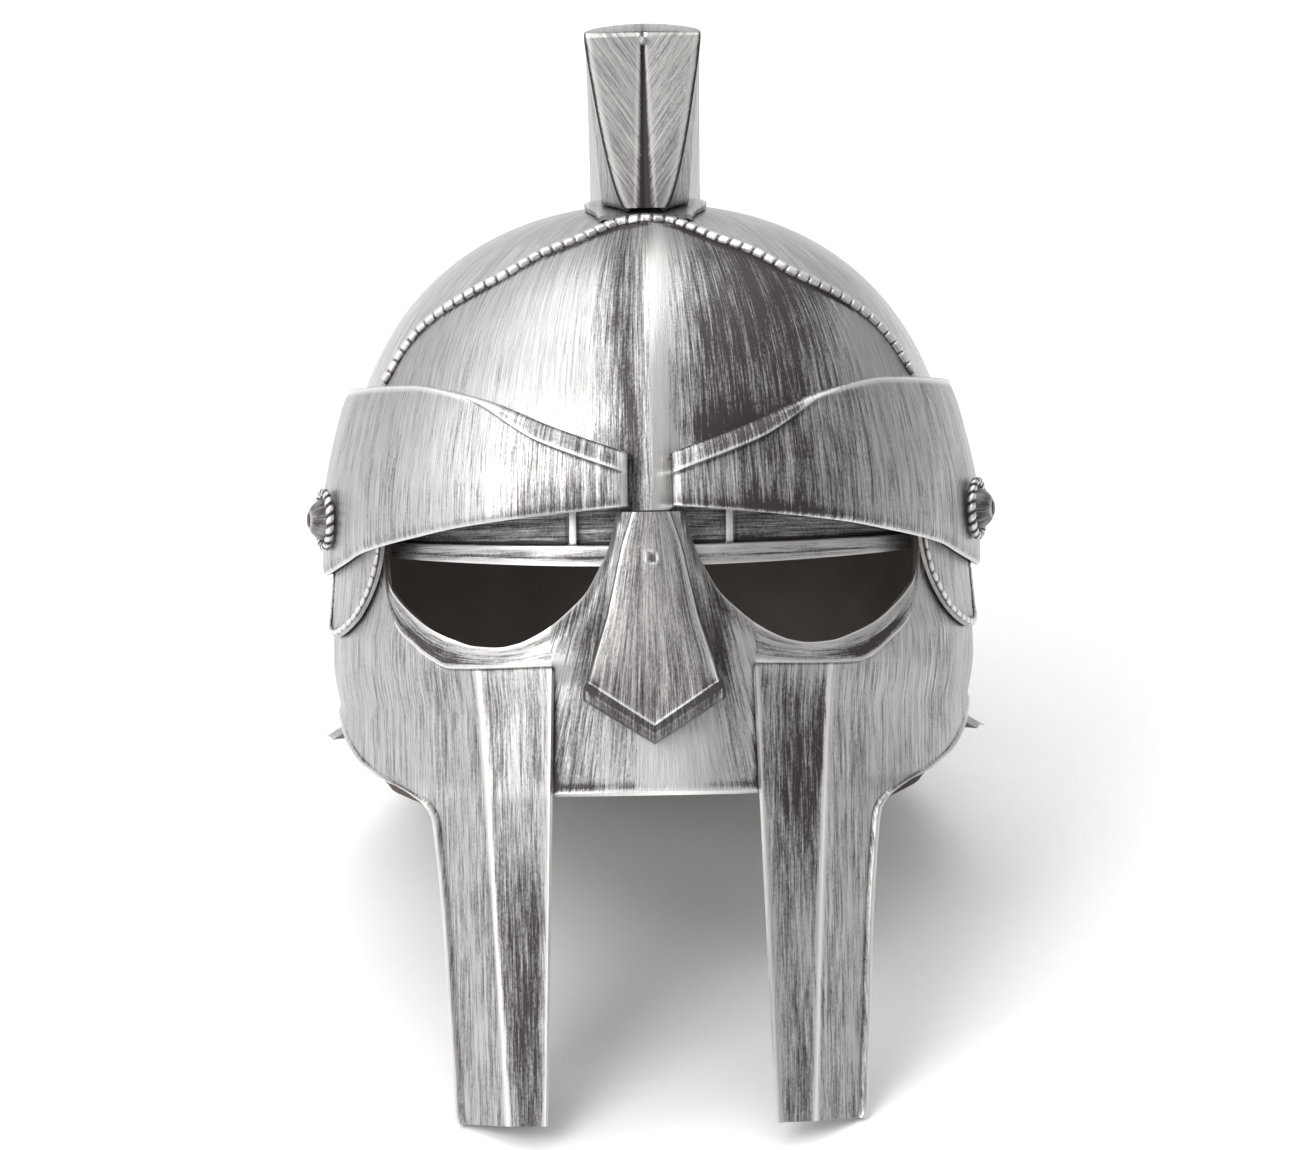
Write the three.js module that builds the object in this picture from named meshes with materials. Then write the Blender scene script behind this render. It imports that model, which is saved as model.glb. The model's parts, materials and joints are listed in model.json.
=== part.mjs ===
// Gladiator helmet: a moulded costume helmet with a domed skull, a comb crest, a laced forehead plate,
// a two-part brow band with studs, and a face mask with two long cheek bars.
// Millimetres. The helmet is drawn as worn: -y to the front, +z up, z = 0 at the height of the studs,
// and +x to the right as seen from the front. It is then tipped back until it rests by itself.
import * as THREE from "three";

// Driving sizes
const PLAN_ROUNDNESS = 2.2;      // exponent of the rounded plan outline, 2 would be an ellipse
const DOME_ROUNDNESS = 2.25;     // exponent of the dome seen from the front
const DOME_HALF_WIDTH = 97;
const DOME_HEIGHT = 99.5;
const DOME_FRONT = 98;           // depth forward of the studs' plane
const DOME_BACK = 112;
const DOME_WALL = 2.4;
const NAPE_DROP = 52;            // dome wall below the studs, at the back
const NAPE_INSET = 3;            // the wall below the studs stands this far inside the dome
const FACE_EDGE = 8;             // height of the dome's front edge
const SEAT_GAP = 0.5;            // clearance between pieces that lie on each other
const PLATE_WALL = 1.6;
const KEEL_RISE = 3;
const KEEL_HALF_WIDTH = 5.5;
const PLATE_FOOT = 4;            // lower edge of the forehead plate, behind the brow band
const KEEL_FOOT = 1;             // lower edge of its keel, between the brow bands
const TRIM_WIDTH = 3;
const TRIM_RISE = 1.5;
const TRIM_REACH = 0.78;         // share of the dome's half width
const BAND_WALL = 2.2;
const BAND_FLARE = 8.7;          // the band's front stands this far outside the forehead plate's
const BAND_FLARE_LEVEL = 0.09;   // height where that is measured, as a share of the dome's
const BAND_END_TAPER = 0.85;     // how far the rounded rear end closes, 1 would be to a point
const BAND_REAR_ANGLE = 101;     // degrees round from the front
const BAND_ROUND_ANGLE = 88;     // where the band's rounded rear end starts
const BAND_GAP_HALF = 6.6;       // half the gap between the brow bands
const BROW_RISE = 2.6;
const MASK_WALL = 2.4;
const MASK_FRONT = 106.5;
const MASK_TOP = 3;              // upper edge of the mask, behind the brow band
const MASK_REAR_ANGLE = 97;       // degrees round from the front
const BAR_LENGTH = 188;          // from the studs down to the bar ends
const BAR_SET_BACK = 7;          // the bar ends lie this far behind the mask's front
const BAR_INNER_TOP = 31.2;
const BAR_INNER_END = 35.6;
const RIDGE_TOP = 54.6;
const RIDGE_END = 47.2;
const RIDGE_RISE = 3.4;
const BAR_EDGE_RISE = 2.2;
const EYE_BEVEL_DEPTH = 3.2;
const BEVEL_STEP = 1.6;          // from the bevel's edge down to the bar's face
const FACET_REACH = 0.84;        // where facets and rim band end, as a share of the dome's half width
const LIP_DROP = 86.7;
const MUZZLE_RECESS = 1.2;
const MUZZLE_LIP = 1.2;          // how far the muzzle plate turns in at the eyes
const NASAL_WALL = 2;
const NASAL_HALF_TOP = 6;
const NASAL_HALF_FOOT = 21.7;
const NASAL_LENGTH = 71;
const NASAL_OUT_TOP = 3.5;       // in front of the muzzle plate
const NASAL_OUT_FOOT = 15;
const NASAL_EDGE_OUT = 1.2;      // its side edges, in front of the muzzle plate
const NASAL_CROWN = 1.2;
const NASAL_CORNER_RISE = 0.193; // rise of the lower corners over the tip, as a share of the length
const RIM_BAND_WALL = 1.6;
const RIM_BAND_SET_BACK = 9;     // behind the mask's front
const RIM_BAND_STEP = 4.5;
const RIM_STRIP_TOP = 9.6;       // drop from the studs to the strip seen through the eyes
const RIM_STRIP_BEVEL = 0.6;
const RIM_STRIP_FOOT = 16.5;
const RIM_BAND_ARCH = 0.76;      // drops at the strip's ends, as a share of those at the middle
const RIB_PLACE = 24.3;
const RIB_WIDTH = 3;
const RIB_RISE = 3;
const TAB_WALL = 1.3;
const TAB_CENTRE = 34;           // forward of the studs' plane
const TAB_HALF_WIDTH = 32;
const TAB_DROP = 37;
const TAB_TOP = 4;
const STUD_RADIUS = 6.9;
const STUD_AZIMUTH = 75;         // direction that a stud points, degrees round from the front
const STUD_TIP_RADIUS = 2.2;
const STUD_TIP_LENGTH = 1.6;
const STUD_HOLE_DEPTH = 2;
const RING_RADIUS = 8.7;
const RING_TUBE = 1.4;
const NECK_WALL = 2.2;
const NECK_LAP = 7;              // how far the neck guard covers the dome's lower edge
const NECK_FLARE = 12;
const NECK_BACK_FLARE = 15;
const NECK_DROP = 70;
const NECK_START_ANGLE = 99;
const CREST_WALL = 2.2;
const CREST_HEIGHT = 56.5;
const CREST_REAR_HEIGHT = 26;
const CREST_FALL = 1.1;             // 1 lowers the comb evenly to the rear, more keeps it high longer
const CREST_SPREAD = 0.8;           // 1 widens the comb evenly upwards, less widens it early
const CREST_HALF_TOP = 18.6;
const CREST_HALF_BASE = 15.1;
const CREST_FRONT_HALF_BASE = 5.8;
const CREST_FRONT_ELEVATION = 67;   // degrees up the dome where the crest starts
const CREST_REAR_ELEVATION = 164;   // degrees over the top and down the back
const CREST_LEAN = 11;
const CREST_CROWN = 2.5;
const CREST_BOW = 1.2;              // the front panel's middle stands this far out
const CREST_SHARES = [0, 0.07, 0.15, 0.24, 0.34, 0.44, 0.54, 0.64, 0.74, 0.84, 0.92, 1];
const PIN_RADIUS = 1.5;
const SADDLE_HALF_WIDTH = 19.5;
const SADDLE_WALL = 1.4;
const SADDLE_GAP = 0.8;          // between the dome and the band that carries the crest

// Height of a line at a distance from the middle. Each row is one chosen point of the line, as shares of
// the size that the line follows: across is a share of the dome's half width.
const TRIM_LINE = [
  { across: 0, up: 0.942 }, { across: 0.083, up: 0.932 }, { across: 0.148, up: 0.909 },
  { across: 0.213, up: 0.88 }, { across: 0.342, up: 0.83 }, { across: 0.472, up: 0.76 },
  { across: 0.537, up: 0.73 }, { across: 0.669, up: 0.656 }, { across: 0.736, up: 0.604 },
  { across: 0.803, up: 0.524 }, { across: 0.837, up: 0.468 }, { across: 0.9, up: 0.39 },
  { across: 1.1, up: 0.34 },
];
const BAND_TOP_LINE = [
  { across: 0.06, up: 0.178 }, { across: 0.356, up: 0.281 }, { across: 0.458, up: 0.322 },
  { across: 0.55, up: 0.355 }, { across: 0.64, up: 0.378 }, { across: 0.732, up: 0.399 },
  { across: 0.825, up: 0.413 }, { across: 1.1, up: 0.417 },
];
const BAND_FOOT_LINE = [
  { across: 0.06, up: 0.017 }, { across: 0.346, up: -0.006 }, { across: 0.62, up: -0.038 },
  { across: 0.763, up: -0.066 }, { across: 0.856, up: -0.086 }, { across: 0.948, up: -0.113 },
  { across: 1.0, up: -0.142 }, { across: 1.1, up: -0.19 },
];
const BROW_WIDTH_LINE = [
  { across: 0.06, up: 0.062 }, { across: 0.35, up: 0.056 }, { across: 0.68, up: 0.004 },
  { across: 1.1, up: 0.004 },
];
// Lower edge of an eye opening, and the outer edge of the bevel under it, as shares of the same sizes
const EYE_LINE = [
  { across: 0.106, up: 0.03 }, { across: 0.113, up: -0.026 }, { across: 0.14, up: -0.118 },
  { across: 0.171, up: -0.179 }, { across: 0.211, up: -0.246 }, { across: 0.266, up: -0.3 },
  { across: 0.32, up: -0.344 }, { across: 0.376, up: -0.377 }, { across: 0.433, up: -0.4 },
  { across: 0.495, up: -0.41 }, { across: 0.567, up: -0.405 }, { across: 0.629, up: -0.384 },
  { across: 0.696, up: -0.352 }, { across: 0.758, up: -0.307 }, { across: 0.814, up: -0.251 },
  { across: 0.84, up: -0.211 }, { across: 0.856, up: -0.121 }, { across: 0.866, up: 0.03 },
  { across: 1.1, up: 0.03 },
];
const BEVEL_LINE = [
  { across: 0.32, up: -0.467 }, { across: 0.572, up: -0.472 }, { across: 0.642, up: -0.471 },
  { across: 0.696, up: -0.445 }, { across: 0.753, up: -0.396 }, { across: 0.81, up: -0.335 },
  { across: 0.845, up: -0.251 }, { across: 0.866, up: -0.121 }, { across: 0.887, up: 0.01 },
  { across: 1.1, up: 0.01 },
];
// Outline of the cheek and the bar's outer edge: a share of the way down to the bar ends, and how far
// out, as a share of the dome's half width
const CHEEK_OUTLINE = [
  { down: 0.325, out: 1.031 }, { down: 0.363, out: 1.007 }, { down: 0.398, out: 0.964 },
  { down: 0.419, out: 0.911 }, { down: 0.44, out: 0.847 }, { down: 0.457, out: 0.784 },
  { down: 0.474, out: 0.737 }, { down: 0.496, out: 0.711 }, { down: 0.522, out: 0.704 },
  { down: 0.581, out: 0.693 }, { down: 0.672, out: 0.68 }, { down: 0.806, out: 0.668 },
  { down: 0.92, out: 0.657 }, { down: 0.99, out: 0.651 }, { down: 1.0, out: 0.643 },
];
// Half width of the mask and of the brow band at heights, as shares of the dome's sizes
const MASK_WIDTHS = [
  { up: 0.05, out: 1.016 }, { up: -0.12, out: 1.019 }, { up: -0.3, out: 1.034 },
  { up: -0.38, out: 1.055 }, { up: -0.46, out: 1.056 }, { up: -0.52, out: 1.049 },
  { up: -0.61, out: 1.034 }, { up: -3, out: 1.034 },
];
const BAND_WIDTHS = [
  { up: 0.42, out: 0.99 }, { up: 0.35, out: 1.017 }, { up: 0.26, out: 1.042 },
  { up: 0.17, out: 1.063 }, { up: 0.09, out: 1.077 }, { up: -0.05, out: 1.085 },
  { up: -0.2, out: 1.085 },
];
// Nose guard: a share of the way down it, and of the way from its top's width and depth to its foot's.
// lift is the share of the corners' rise that a row takes.
const NASAL_ROWS = [
  { down: 0, width: 0, out: 0, lift: 0 }, { down: 0.14, width: 0.21, out: 0.1, lift: 0 },
  { down: 0.45, width: 0.53, out: 0.42, lift: 0 }, { down: 0.7, width: 0.8, out: 0.75, lift: 0.35 },
  { down: 0.924, width: 0.92, out: 1, lift: 1 }, { down: 0.955, width: 1, out: 0.72, lift: 1 },
  { down: 0.98, width: 1, out: 0.62, lift: 1 }, { down: 1, width: 1, out: 0.12, lift: 1 },
];

const rad = THREE.MathUtils.degToRad;
const lerp = THREE.MathUtils.lerp;
const shares = (count) => Array.from({ length: count + 1 }, (_, i) => i / count);

// Value of a table's column at a value of its key column, along straight stretches
function readTable(table, key, column, value) {
  const rising = table[1][key] > table[0][key];
  const rows = rising ? table : [...table].reverse();
  if (value <= rows[0][key]) return rows[0][column];
  for (let i = 1; i < rows.length; i += 1) {
    if (value <= rows[i][key]) {
      const share = (value - rows[i - 1][key]) / (rows[i][key] - rows[i - 1][key]);
      return lerp(rows[i - 1][column], rows[i][column], share);
    }
  }
  return rows[rows.length - 1][column];
}

const heightOf = (line, x) =>
  DOME_HEIGHT * readTable(line, "across", "up", Math.abs(x) / DOME_HALF_WIDTH);
const halfWidthAt = (table, z) =>
  DOME_HALF_WIDTH * readTable(table, "up", "out", z / DOME_HEIGHT);

// Signed power, which makes a superellipse of a circle
const signedPower = (value, power) => Math.sign(value) * Math.abs(value) ** power;

// Point of a rounded plan outline, at an angle round from the front
function planPoint(angle, halfWidth, front, back = front) {
  const power = 2 / PLAN_ROUNDNESS;
  const forward = signedPower(Math.cos(angle), power);
  return { x: halfWidth * signedPower(Math.sin(angle), power), y: -forward * (forward > 0 ? front : back) };
}

// Angle round from the front at which a plan outline is x from the middle
function planAngle(x, halfWidth) {
  const share = Math.min(1, Math.abs(x) / halfWidth);
  return Math.sign(x) * Math.asin(share ** (PLAN_ROUNDNESS / 2));
}

// Point of the dome, or of a layer that lies a distance outside it
function domePoint(angle, elevation, outside) {
  const power = 2 / DOME_ROUNDNESS;
  const reach = signedPower(Math.cos(elevation), power);
  const height = signedPower(Math.sin(elevation), power);
  const plan = planPoint(angle, DOME_HALF_WIDTH + outside, DOME_FRONT + outside, DOME_BACK + outside);
  return new THREE.Vector3(plan.x * reach, plan.y * reach, (DOME_HEIGHT + outside) * height);
}

const elevationAtHeight = (z, outside) =>
  Math.asin(Math.min(1, Math.max(0, z / (DOME_HEIGHT + outside))) ** (DOME_ROUNDNESS / 2));

// Elevation at which a layer of the dome, at an angle round, crosses a line drawn in front view
function elevationAtLine(angle, outside, line, below) {
  let low = 0;
  let high = rad(90);
  for (let step = 0; step < 40; step += 1) {
    const middle = (low + high) / 2;
    const point = domePoint(angle, middle, outside);
    if (point.z > heightOf(line, point.x) - below) high = middle;
    else low = middle;
  }
  return (low + high) / 2;
}

// Open surface of a grid of points, row by row from the top, each row from left to right seen from
// outside. Points that fall together are one point, and cells that keep() leaves out are open.
function gridSurface(rows, keep = () => true) {
  const points = [];
  const places = new Map();
  const indexOf = (point) => {
    const key = [point.x, point.y, point.z].map((value) => Math.round(value * 1000)).join(" ");
    if (!places.has(key)) {
      places.set(key, points.length);
      points.push(point);
    }
    return places.get(key);
  };
  const faces = [];
  const addFace = (a, b, c) => {
    if (a !== b && b !== c && c !== a) faces.push([a, b, c]);
  };
  for (let i = 0; i + 1 < rows.length; i += 1) {
    for (let j = 0; j + 1 < rows[i].length; j += 1) {
      if (!keep(i, j)) continue;
      const corners = [rows[i][j], rows[i + 1][j], rows[i + 1][j + 1], rows[i][j + 1]].map(indexOf);
      addFace(corners[0], corners[1], corners[2]);
      addFace(corners[0], corners[2], corners[3]);
    }
  }
  return { points, faces };
}

// Closed wall of even thickness inside an open surface. Where level() is true the wall is measured
// level, so that an end stays flat.
function thicken(surface, wall, level = () => false) {
  const { points, faces } = surface;
  const normals = points.map(() => new THREE.Vector3());
  const faceNormals = faces.map((face) => {
    const [a, b, c] = face.map((index) => points[index]);
    return new THREE.Vector3().crossVectors(b.clone().sub(a), c.clone().sub(a));
  });
  faces.forEach((face, f) => face.forEach((index) => normals[index].add(faceNormals[f])));
  const inner = points.map((point, index) => {
    const normal = normals[index];
    if (level(point)) normal.z = 0;
    normal.normalize();
    return point.clone().addScaledVector(normal, -wall);
  });
  const count = points.length;
  const triangles = [];
  const edges = new Set();
  for (const [a, b, c] of faces) {
    triangles.push([a, b, c], [count + a, count + c, count + b]);
    for (const [from, to] of [[a, b], [b, c], [c, a]]) edges.add(`${from} ${to}`);
  }
  for (const edge of edges) {
    const [from, to] = edge.split(" ").map(Number);
    if (edges.has(`${to} ${from}`)) continue;
    triangles.push([to, from, count + from], [to, count + from, count + to]);
  }
  const geometry = new THREE.BufferGeometry();
  const values = [...points, ...inner].flatMap((point) => [point.x, point.y, point.z]);
  geometry.setAttribute("position", new THREE.Float32BufferAttribute(values, 3));
  geometry.setIndex(triangles.flat());
  geometry.computeVertexNormals();
  return geometry;
}

// The same surface on the other side of the middle
function mirrored(surface) {
  return {
    points: surface.points.map((point) => new THREE.Vector3(-point.x, point.y, point.z)),
    faces: surface.faces.map(([a, b, c]) => [a, c, b]),
  };
}

const FINISHES = {
  silver: { color: 0xb8b6b2, roughness: 0.42, metalness: 0.75 },
  darkSilver: { color: 0x807c78, roughness: 0.5, metalness: 0.7 },
  black: { color: 0x1b1817, roughness: 0.5, metalness: 0 },
};

const helmet = new THREE.Group();

function addPiece(name, geometry, finish = "silver") {
  const mesh = new THREE.Mesh(geometry, new THREE.MeshStandardMaterial(FINISHES[finish]));
  mesh.name = name;
  helmet.add(mesh);
  return mesh;
}

// Skull: closed over the top, open below, with the face left out of its lower front
function skullDome() {
  const columns = 36;
  const domeRows = 11;
  const angles = shares(columns).map((share) => rad(lerp(-180, 180, share)));
  const edge = elevationAtHeight(FACE_EDGE, 0);
  const rows = shares(domeRows).map((share) =>
    angles.map((angle) => domePoint(angle, lerp(rad(90), edge, share), 0)));
  for (const share of [0.01, 0.35, 1]) {
    const width = DOME_HALF_WIDTH - NAPE_INSET;
    rows.push(angles.map((angle) => {
      const plan = planPoint(angle, width, DOME_FRONT - NAPE_INSET, DOME_BACK - NAPE_INSET);
      return new THREE.Vector3(plan.x, plan.y, -NAPE_DROP * share);
    }));
  }
  const isFace = (j) => Math.abs((angles[j] + angles[j + 1]) / 2) < rad(90);
  return gridSurface(rows, (i, j) => i < domeRows || !isFace(j));
}

// Flared guard round the nape, outside the dome's lower edge
function neckGuard() {
  const angles = shares(22).map((share) => rad(lerp(NECK_START_ANGLE, 360 - NECK_START_ANGLE, share)));
  const profile = [
    { z: -NAPE_DROP + NECK_LAP, flare: 0 },
    { z: -NAPE_DROP - NECK_LAP, flare: 0 },
    { z: lerp(-NAPE_DROP - NECK_LAP, -NECK_DROP, 0.5), flare: 0.3 },
    { z: -NECK_DROP, flare: 1 },
  ];
  const outside = SEAT_GAP + NECK_WALL - NAPE_INSET;
  return gridSurface(profile.map(({ z, flare }) => angles.map((angle) => {
    const plan = planPoint(angle, DOME_HALF_WIDTH + outside + flare * NECK_FLARE, DOME_FRONT,
      DOME_BACK + outside + flare * NECK_BACK_FLARE);
    return new THREE.Vector3(plan.x, plan.y, z);
  })));
}

const PLATE_OUTSIDE = SEAT_GAP + PLATE_WALL;

// Rise of the rounded keel down the middle of the forehead
function keelRise(x) {
  return KEEL_RISE * Math.exp(-((x / KEEL_HALF_WIDTH) ** 2));
}

const KEEL_COLUMNS = [0, 0.45, 1, 1.9];

function foreheadAngles() {
  const keel = KEEL_COLUMNS.map((share) => planAngle(share * KEEL_HALF_WIDTH, DOME_HALF_WIDTH));
  const widest = rad(76);
  const side = shares(8).slice(1).map((share) => lerp(keel[keel.length - 1], widest, share));
  const right = [...keel, ...side];
  return [...right.slice(1).map((angle) => -angle).reverse(), ...right];
}

function foreheadPoint(angle, elevation, outside) {
  const point = domePoint(angle, elevation, outside);
  point.y -= keelRise(point.x);
  return point;
}

// Height of the forehead plate's lower edge: its keel reaches further down than its sides
function plateFoot(x) {
  const share = THREE.MathUtils.clamp(Math.abs(x) / KEEL_HALF_WIDTH - 1, 0, 1);
  return lerp(KEEL_FOOT, PLATE_FOOT, share);
}

// Forehead plate: lies on the dome from its laced upper edge down to behind the brow band
function foreheadPlate() {
  const angles = foreheadAngles();
  return gridSurface(shares(11).map((share) => angles.map((angle) => {
    const top = elevationAtLine(angle, PLATE_OUTSIDE, TRIM_LINE, 0);
    const foot = elevationAtHeight(plateFoot(domePoint(angle, 0, PLATE_OUTSIDE).x), PLATE_OUTSIDE);
    return foreheadPoint(angle, lerp(top, foot, share), PLATE_OUTSIDE);
  })));
}

// Raised cord along the upper edge of the forehead plate
function foreheadTrim() {
  const outside = PLATE_OUTSIDE + SEAT_GAP + TRIM_RISE;
  const reach = TRIM_REACH * DOME_HALF_WIDTH;
  const widest = shares(60).map((share) => rad(90 * share)).find((angle) => {
    const elevation = elevationAtLine(angle, outside, TRIM_LINE, 0);
    return domePoint(angle, elevation, outside).x > reach;
  });
  const angles = shares(32).map((share) => lerp(-widest, widest, share));
  return gridSurface([0, 1].map((row) => angles.map((angle) => {
    const elevation = elevationAtLine(angle, outside, TRIM_LINE, row * TRIM_WIDTH);
    return foreheadPoint(angle, elevation, outside);
  })));
}

// Front depth of the brow band where its half width is known
function bandFront(halfWidth) {
  const flaredHalfWidth = halfWidthAt(BAND_WIDTHS, BAND_FLARE_LEVEL * DOME_HEIGHT);
  return DOME_FRONT + PLATE_OUTSIDE + BAND_FLARE + halfWidth - flaredHalfWidth;
}

function bandPoint(angle, z, rise) {
  const halfWidth = halfWidthAt(BAND_WIDTHS, z);
  const plan = planPoint(angle, halfWidth, bandFront(halfWidth), DOME_BACK);
  return new THREE.Vector3(plan.x + rise * Math.sin(angle), plan.y - rise * Math.cos(angle), z);
}

// Where the brow band's turned-in edge meets the forehead plate
function seatPoint(angle, z) {
  const outside = PLATE_OUTSIDE + 2 * SEAT_GAP;
  const point = domePoint(angle, elevationAtHeight(Math.max(0, z), outside), outside);
  return point.setZ(z);
}

// Right half of the brow band, with a raised brow that ends at the middle gap
function browBand() {
  const start = planAngle(BAND_GAP_HALF, DOME_HALF_WIDTH);
  const round = shares(5).map((share) =>
    rad(lerp(BAND_ROUND_ANGLE, BAND_REAR_ANGLE, Math.sin(rad(90 * share)))));
  const front = shares(14).slice(0, -1).map((share) => lerp(start, rad(BAND_ROUND_ANGLE), share));
  const angles = [...front, ...round];
  const lowerShares = [0.3, 0.65, 1];
  const columns = angles.map((angle) => {
    const x = planPoint(Math.min(angle, rad(90)), halfWidthAt(BAND_WIDTHS, 0), DOME_FRONT).x;
    const past = Math.max(0, (angle - rad(BAND_ROUND_ANGLE)) / rad(BAND_REAR_ANGLE - BAND_ROUND_ANGLE));
    const full = Math.sqrt(1 - BAND_END_TAPER * past * past);
    const top = full * heightOf(BAND_TOP_LINE, x);
    const foot = full * heightOf(BAND_FOOT_LINE, x);
    const brow = heightOf(BROW_WIDTH_LINE, x);
    const rise = BROW_RISE * Math.min(1, brow / (0.05 * DOME_HEIGHT));
    const under = Math.max(0.6, 0.3 * brow);
    return [
      seatPoint(angle, top),
      bandPoint(angle, top, 0.15 * rise),
      bandPoint(angle, top - brow, rise),
      bandPoint(angle, top - brow - under, 0),
      ...lowerShares.map((share) => bandPoint(angle, lerp(top - brow - under, foot, share), 0)),
    ];
  });
  const end = columns[0].map((point) => seatPoint(start, point.z));
  return gridSurface([end, ...columns].reverse());
}

// Front depth of the mask at a height: the bars lie back a little towards their ends
function maskFront(z) {
  const share = Math.max(0, (-z - LIP_DROP) / (BAR_LENGTH - LIP_DROP));
  return MASK_FRONT - BAR_SET_BACK * share;
}

function maskPoint(angle, z, rise) {
  const plan = planPoint(angle, halfWidthAt(MASK_WIDTHS, z), maskFront(z));
  return new THREE.Vector3(plan.x, plan.y - rise, z);
}

const barStart = -heightOf(BEVEL_LINE, 0.5 * DOME_HALF_WIDTH);
const barShare = (z) => Math.max(0, (-z - barStart) / (BAR_LENGTH - barStart));
const barInner = (z) => lerp(BAR_INNER_TOP, BAR_INNER_END, barShare(z));
const barRidge = (z) => lerp(RIDGE_TOP, RIDGE_END, Math.sqrt(barShare(z)) * 0.5 + barShare(z) * 0.5);

function cheekEdgeAngle(z) {
  const down = -z / BAR_LENGTH;
  if (down <= CHEEK_OUTLINE[0].down) return rad(MASK_REAR_ANGLE);
  const out = DOME_HALF_WIDTH * readTable(CHEEK_OUTLINE, "down", "out", down);
  return Math.min(rad(MASK_REAR_ANGLE), planAngle(out, halfWidthAt(MASK_WIDTHS, z)));
}

// Where a bar's two facets meet the round cheek: heights of facets over the round surface
function facetRise(x, z, outerX) {
  const halfWidth = halfWidthAt(MASK_WIDTHS, z);
  const roundY = (place) => planPoint(planAngle(place, halfWidth), halfWidth, maskFront(z)).y;
  const inner = barInner(z);
  const ridge = barRidge(z);
  const merge = Math.min(FACET_REACH * DOME_HALF_WIDTH, outerX);
  if (x >= merge) return 0;
  const ridgeY = roundY(ridge) - RIDGE_RISE;
  const flat = x < ridge
    ? lerp(roundY(inner) - BAR_EDGE_RISE, ridgeY, (x - inner) / (ridge - inner))
    : lerp(ridgeY, roundY(merge), (x - ridge) / (merge - ridge));
  return roundY(x) - flat;
}

// Columns of the right cheek: two over the bar's inner facet, the ridge, and the rest round the cheek
const CHEEK_COLUMNS = [0.63, 0.69, 0.75, 0.8, 0.838, 0.856, 0.868, 0.9, 0.96, 1.0];
const CHEEK_LEVELS = [
  0.31, 0.34, 0.37, 0.395, 0.417, 0.437, 0.455, 0.474, 0.496, 0.53, 0.62, 0.74, 0.87, 0.97, 1.0,
];

// Right cheek guard with its long bar, from behind the brow band down to the bar's end
function cheekGuard() {
  const topWidth = halfWidthAt(MASK_WIDTHS, 0);
  const rear = rad(MASK_REAR_ANGLE);
  const ridgeAngle = planAngle(RIDGE_TOP, topWidth);
  const sideShares = CHEEK_COLUMNS.map((share) =>
    (Math.min(rear, planAngle(share * DOME_HALF_WIDTH, topWidth)) - ridgeAngle) / (rear - ridgeAngle));
  sideShares.push(1);
  const places = [-2, -1, 0, ...sideShares];
  const angleAt = (place, z) => {
    const halfWidth = halfWidthAt(MASK_WIDTHS, z);
    const ridge = planAngle(barRidge(z), halfWidth);
    if (place >= 0) return lerp(ridge, cheekEdgeAngle(z), place);
    return planAngle(lerp(barRidge(z), barInner(z), -place / 2), halfWidth);
  };
  const columns = places.map((place) => {
    const across = Math.abs(planPoint(angleAt(place, 0), topWidth, MASK_FRONT).x);
    const top = Math.min(MASK_TOP, heightOf(EYE_LINE, across));
    const bevel = Math.min(top - 1, heightOf(BEVEL_LINE, across));
    const isEye = top < MASK_TOP - 1;
    const first = -CHEEK_LEVELS[0] * BAR_LENGTH;
    const points = [
      maskPoint(angleAt(place, top), top, isEye ? -EYE_BEVEL_DEPTH : 0),
      maskPoint(angleAt(place, bevel), bevel, 0),
    ];
    const under = bevel - BEVEL_STEP;
    const between = [0.33, 0.62, 0.82].map((share) => lerp(under, first, share));
    const levels = [under, ...between, ...CHEEK_LEVELS.map((share) => -share * BAR_LENGTH)];
    for (const z of levels) {
      const angle = angleAt(place, z);
      const x = maskPoint(angle, z, 0).x;
      const edge = maskPoint(cheekEdgeAngle(z), z, 0).x;
      const settled = place <= 0 ? 1 : THREE.MathUtils.smoothstep(-z, barStart, 0.42 * BAR_LENGTH);
      const round = RIDGE_RISE * Math.max(0, 1 - place * 4) ** 2;
      const facet = facetRise(x, z, edge);
      points.push(maskPoint(angle, z, lerp(round, facet, settled)));
    }
    return points;
  });
  return gridSurface(columns[0].map((_, row) => columns.map((column) => column[row])));
}

// Muzzle plate between the bars, from the bridge of the nose down to the lip
function muzzlePlate() {
  const bridge = EYE_LINE[0].across * DOME_HALF_WIDTH;
  const side = BAR_INNER_TOP - 2 * SEAT_GAP;
  const half = [0, 0.45 * bridge, 0.98 * bridge, ...shares(6).slice(1).map((s) => lerp(bridge, side, s))];
  const places = [...half.slice(1).map((x) => -x).reverse(), ...half];
  const columns = places.map((x) => {
    const top = Math.abs(x) < bridge ? 0 : Math.min(0, heightOf(EYE_LINE, x));
    return [0, 0.06, 0.3, 0.55, 0.8, 1].map((share, row) => {
      const z = lerp(top, -LIP_DROP, share);
      const angle = planAngle(x, halfWidthAt(MASK_WIDTHS, z));
      return maskPoint(angle, z, row === 0 ? -MUZZLE_RECESS - MUZZLE_LIP : -MUZZLE_RECESS);
    });
  });
  return gridSurface(columns[0].map((_, row) => columns.map((column) => column[row])));
}

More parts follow.
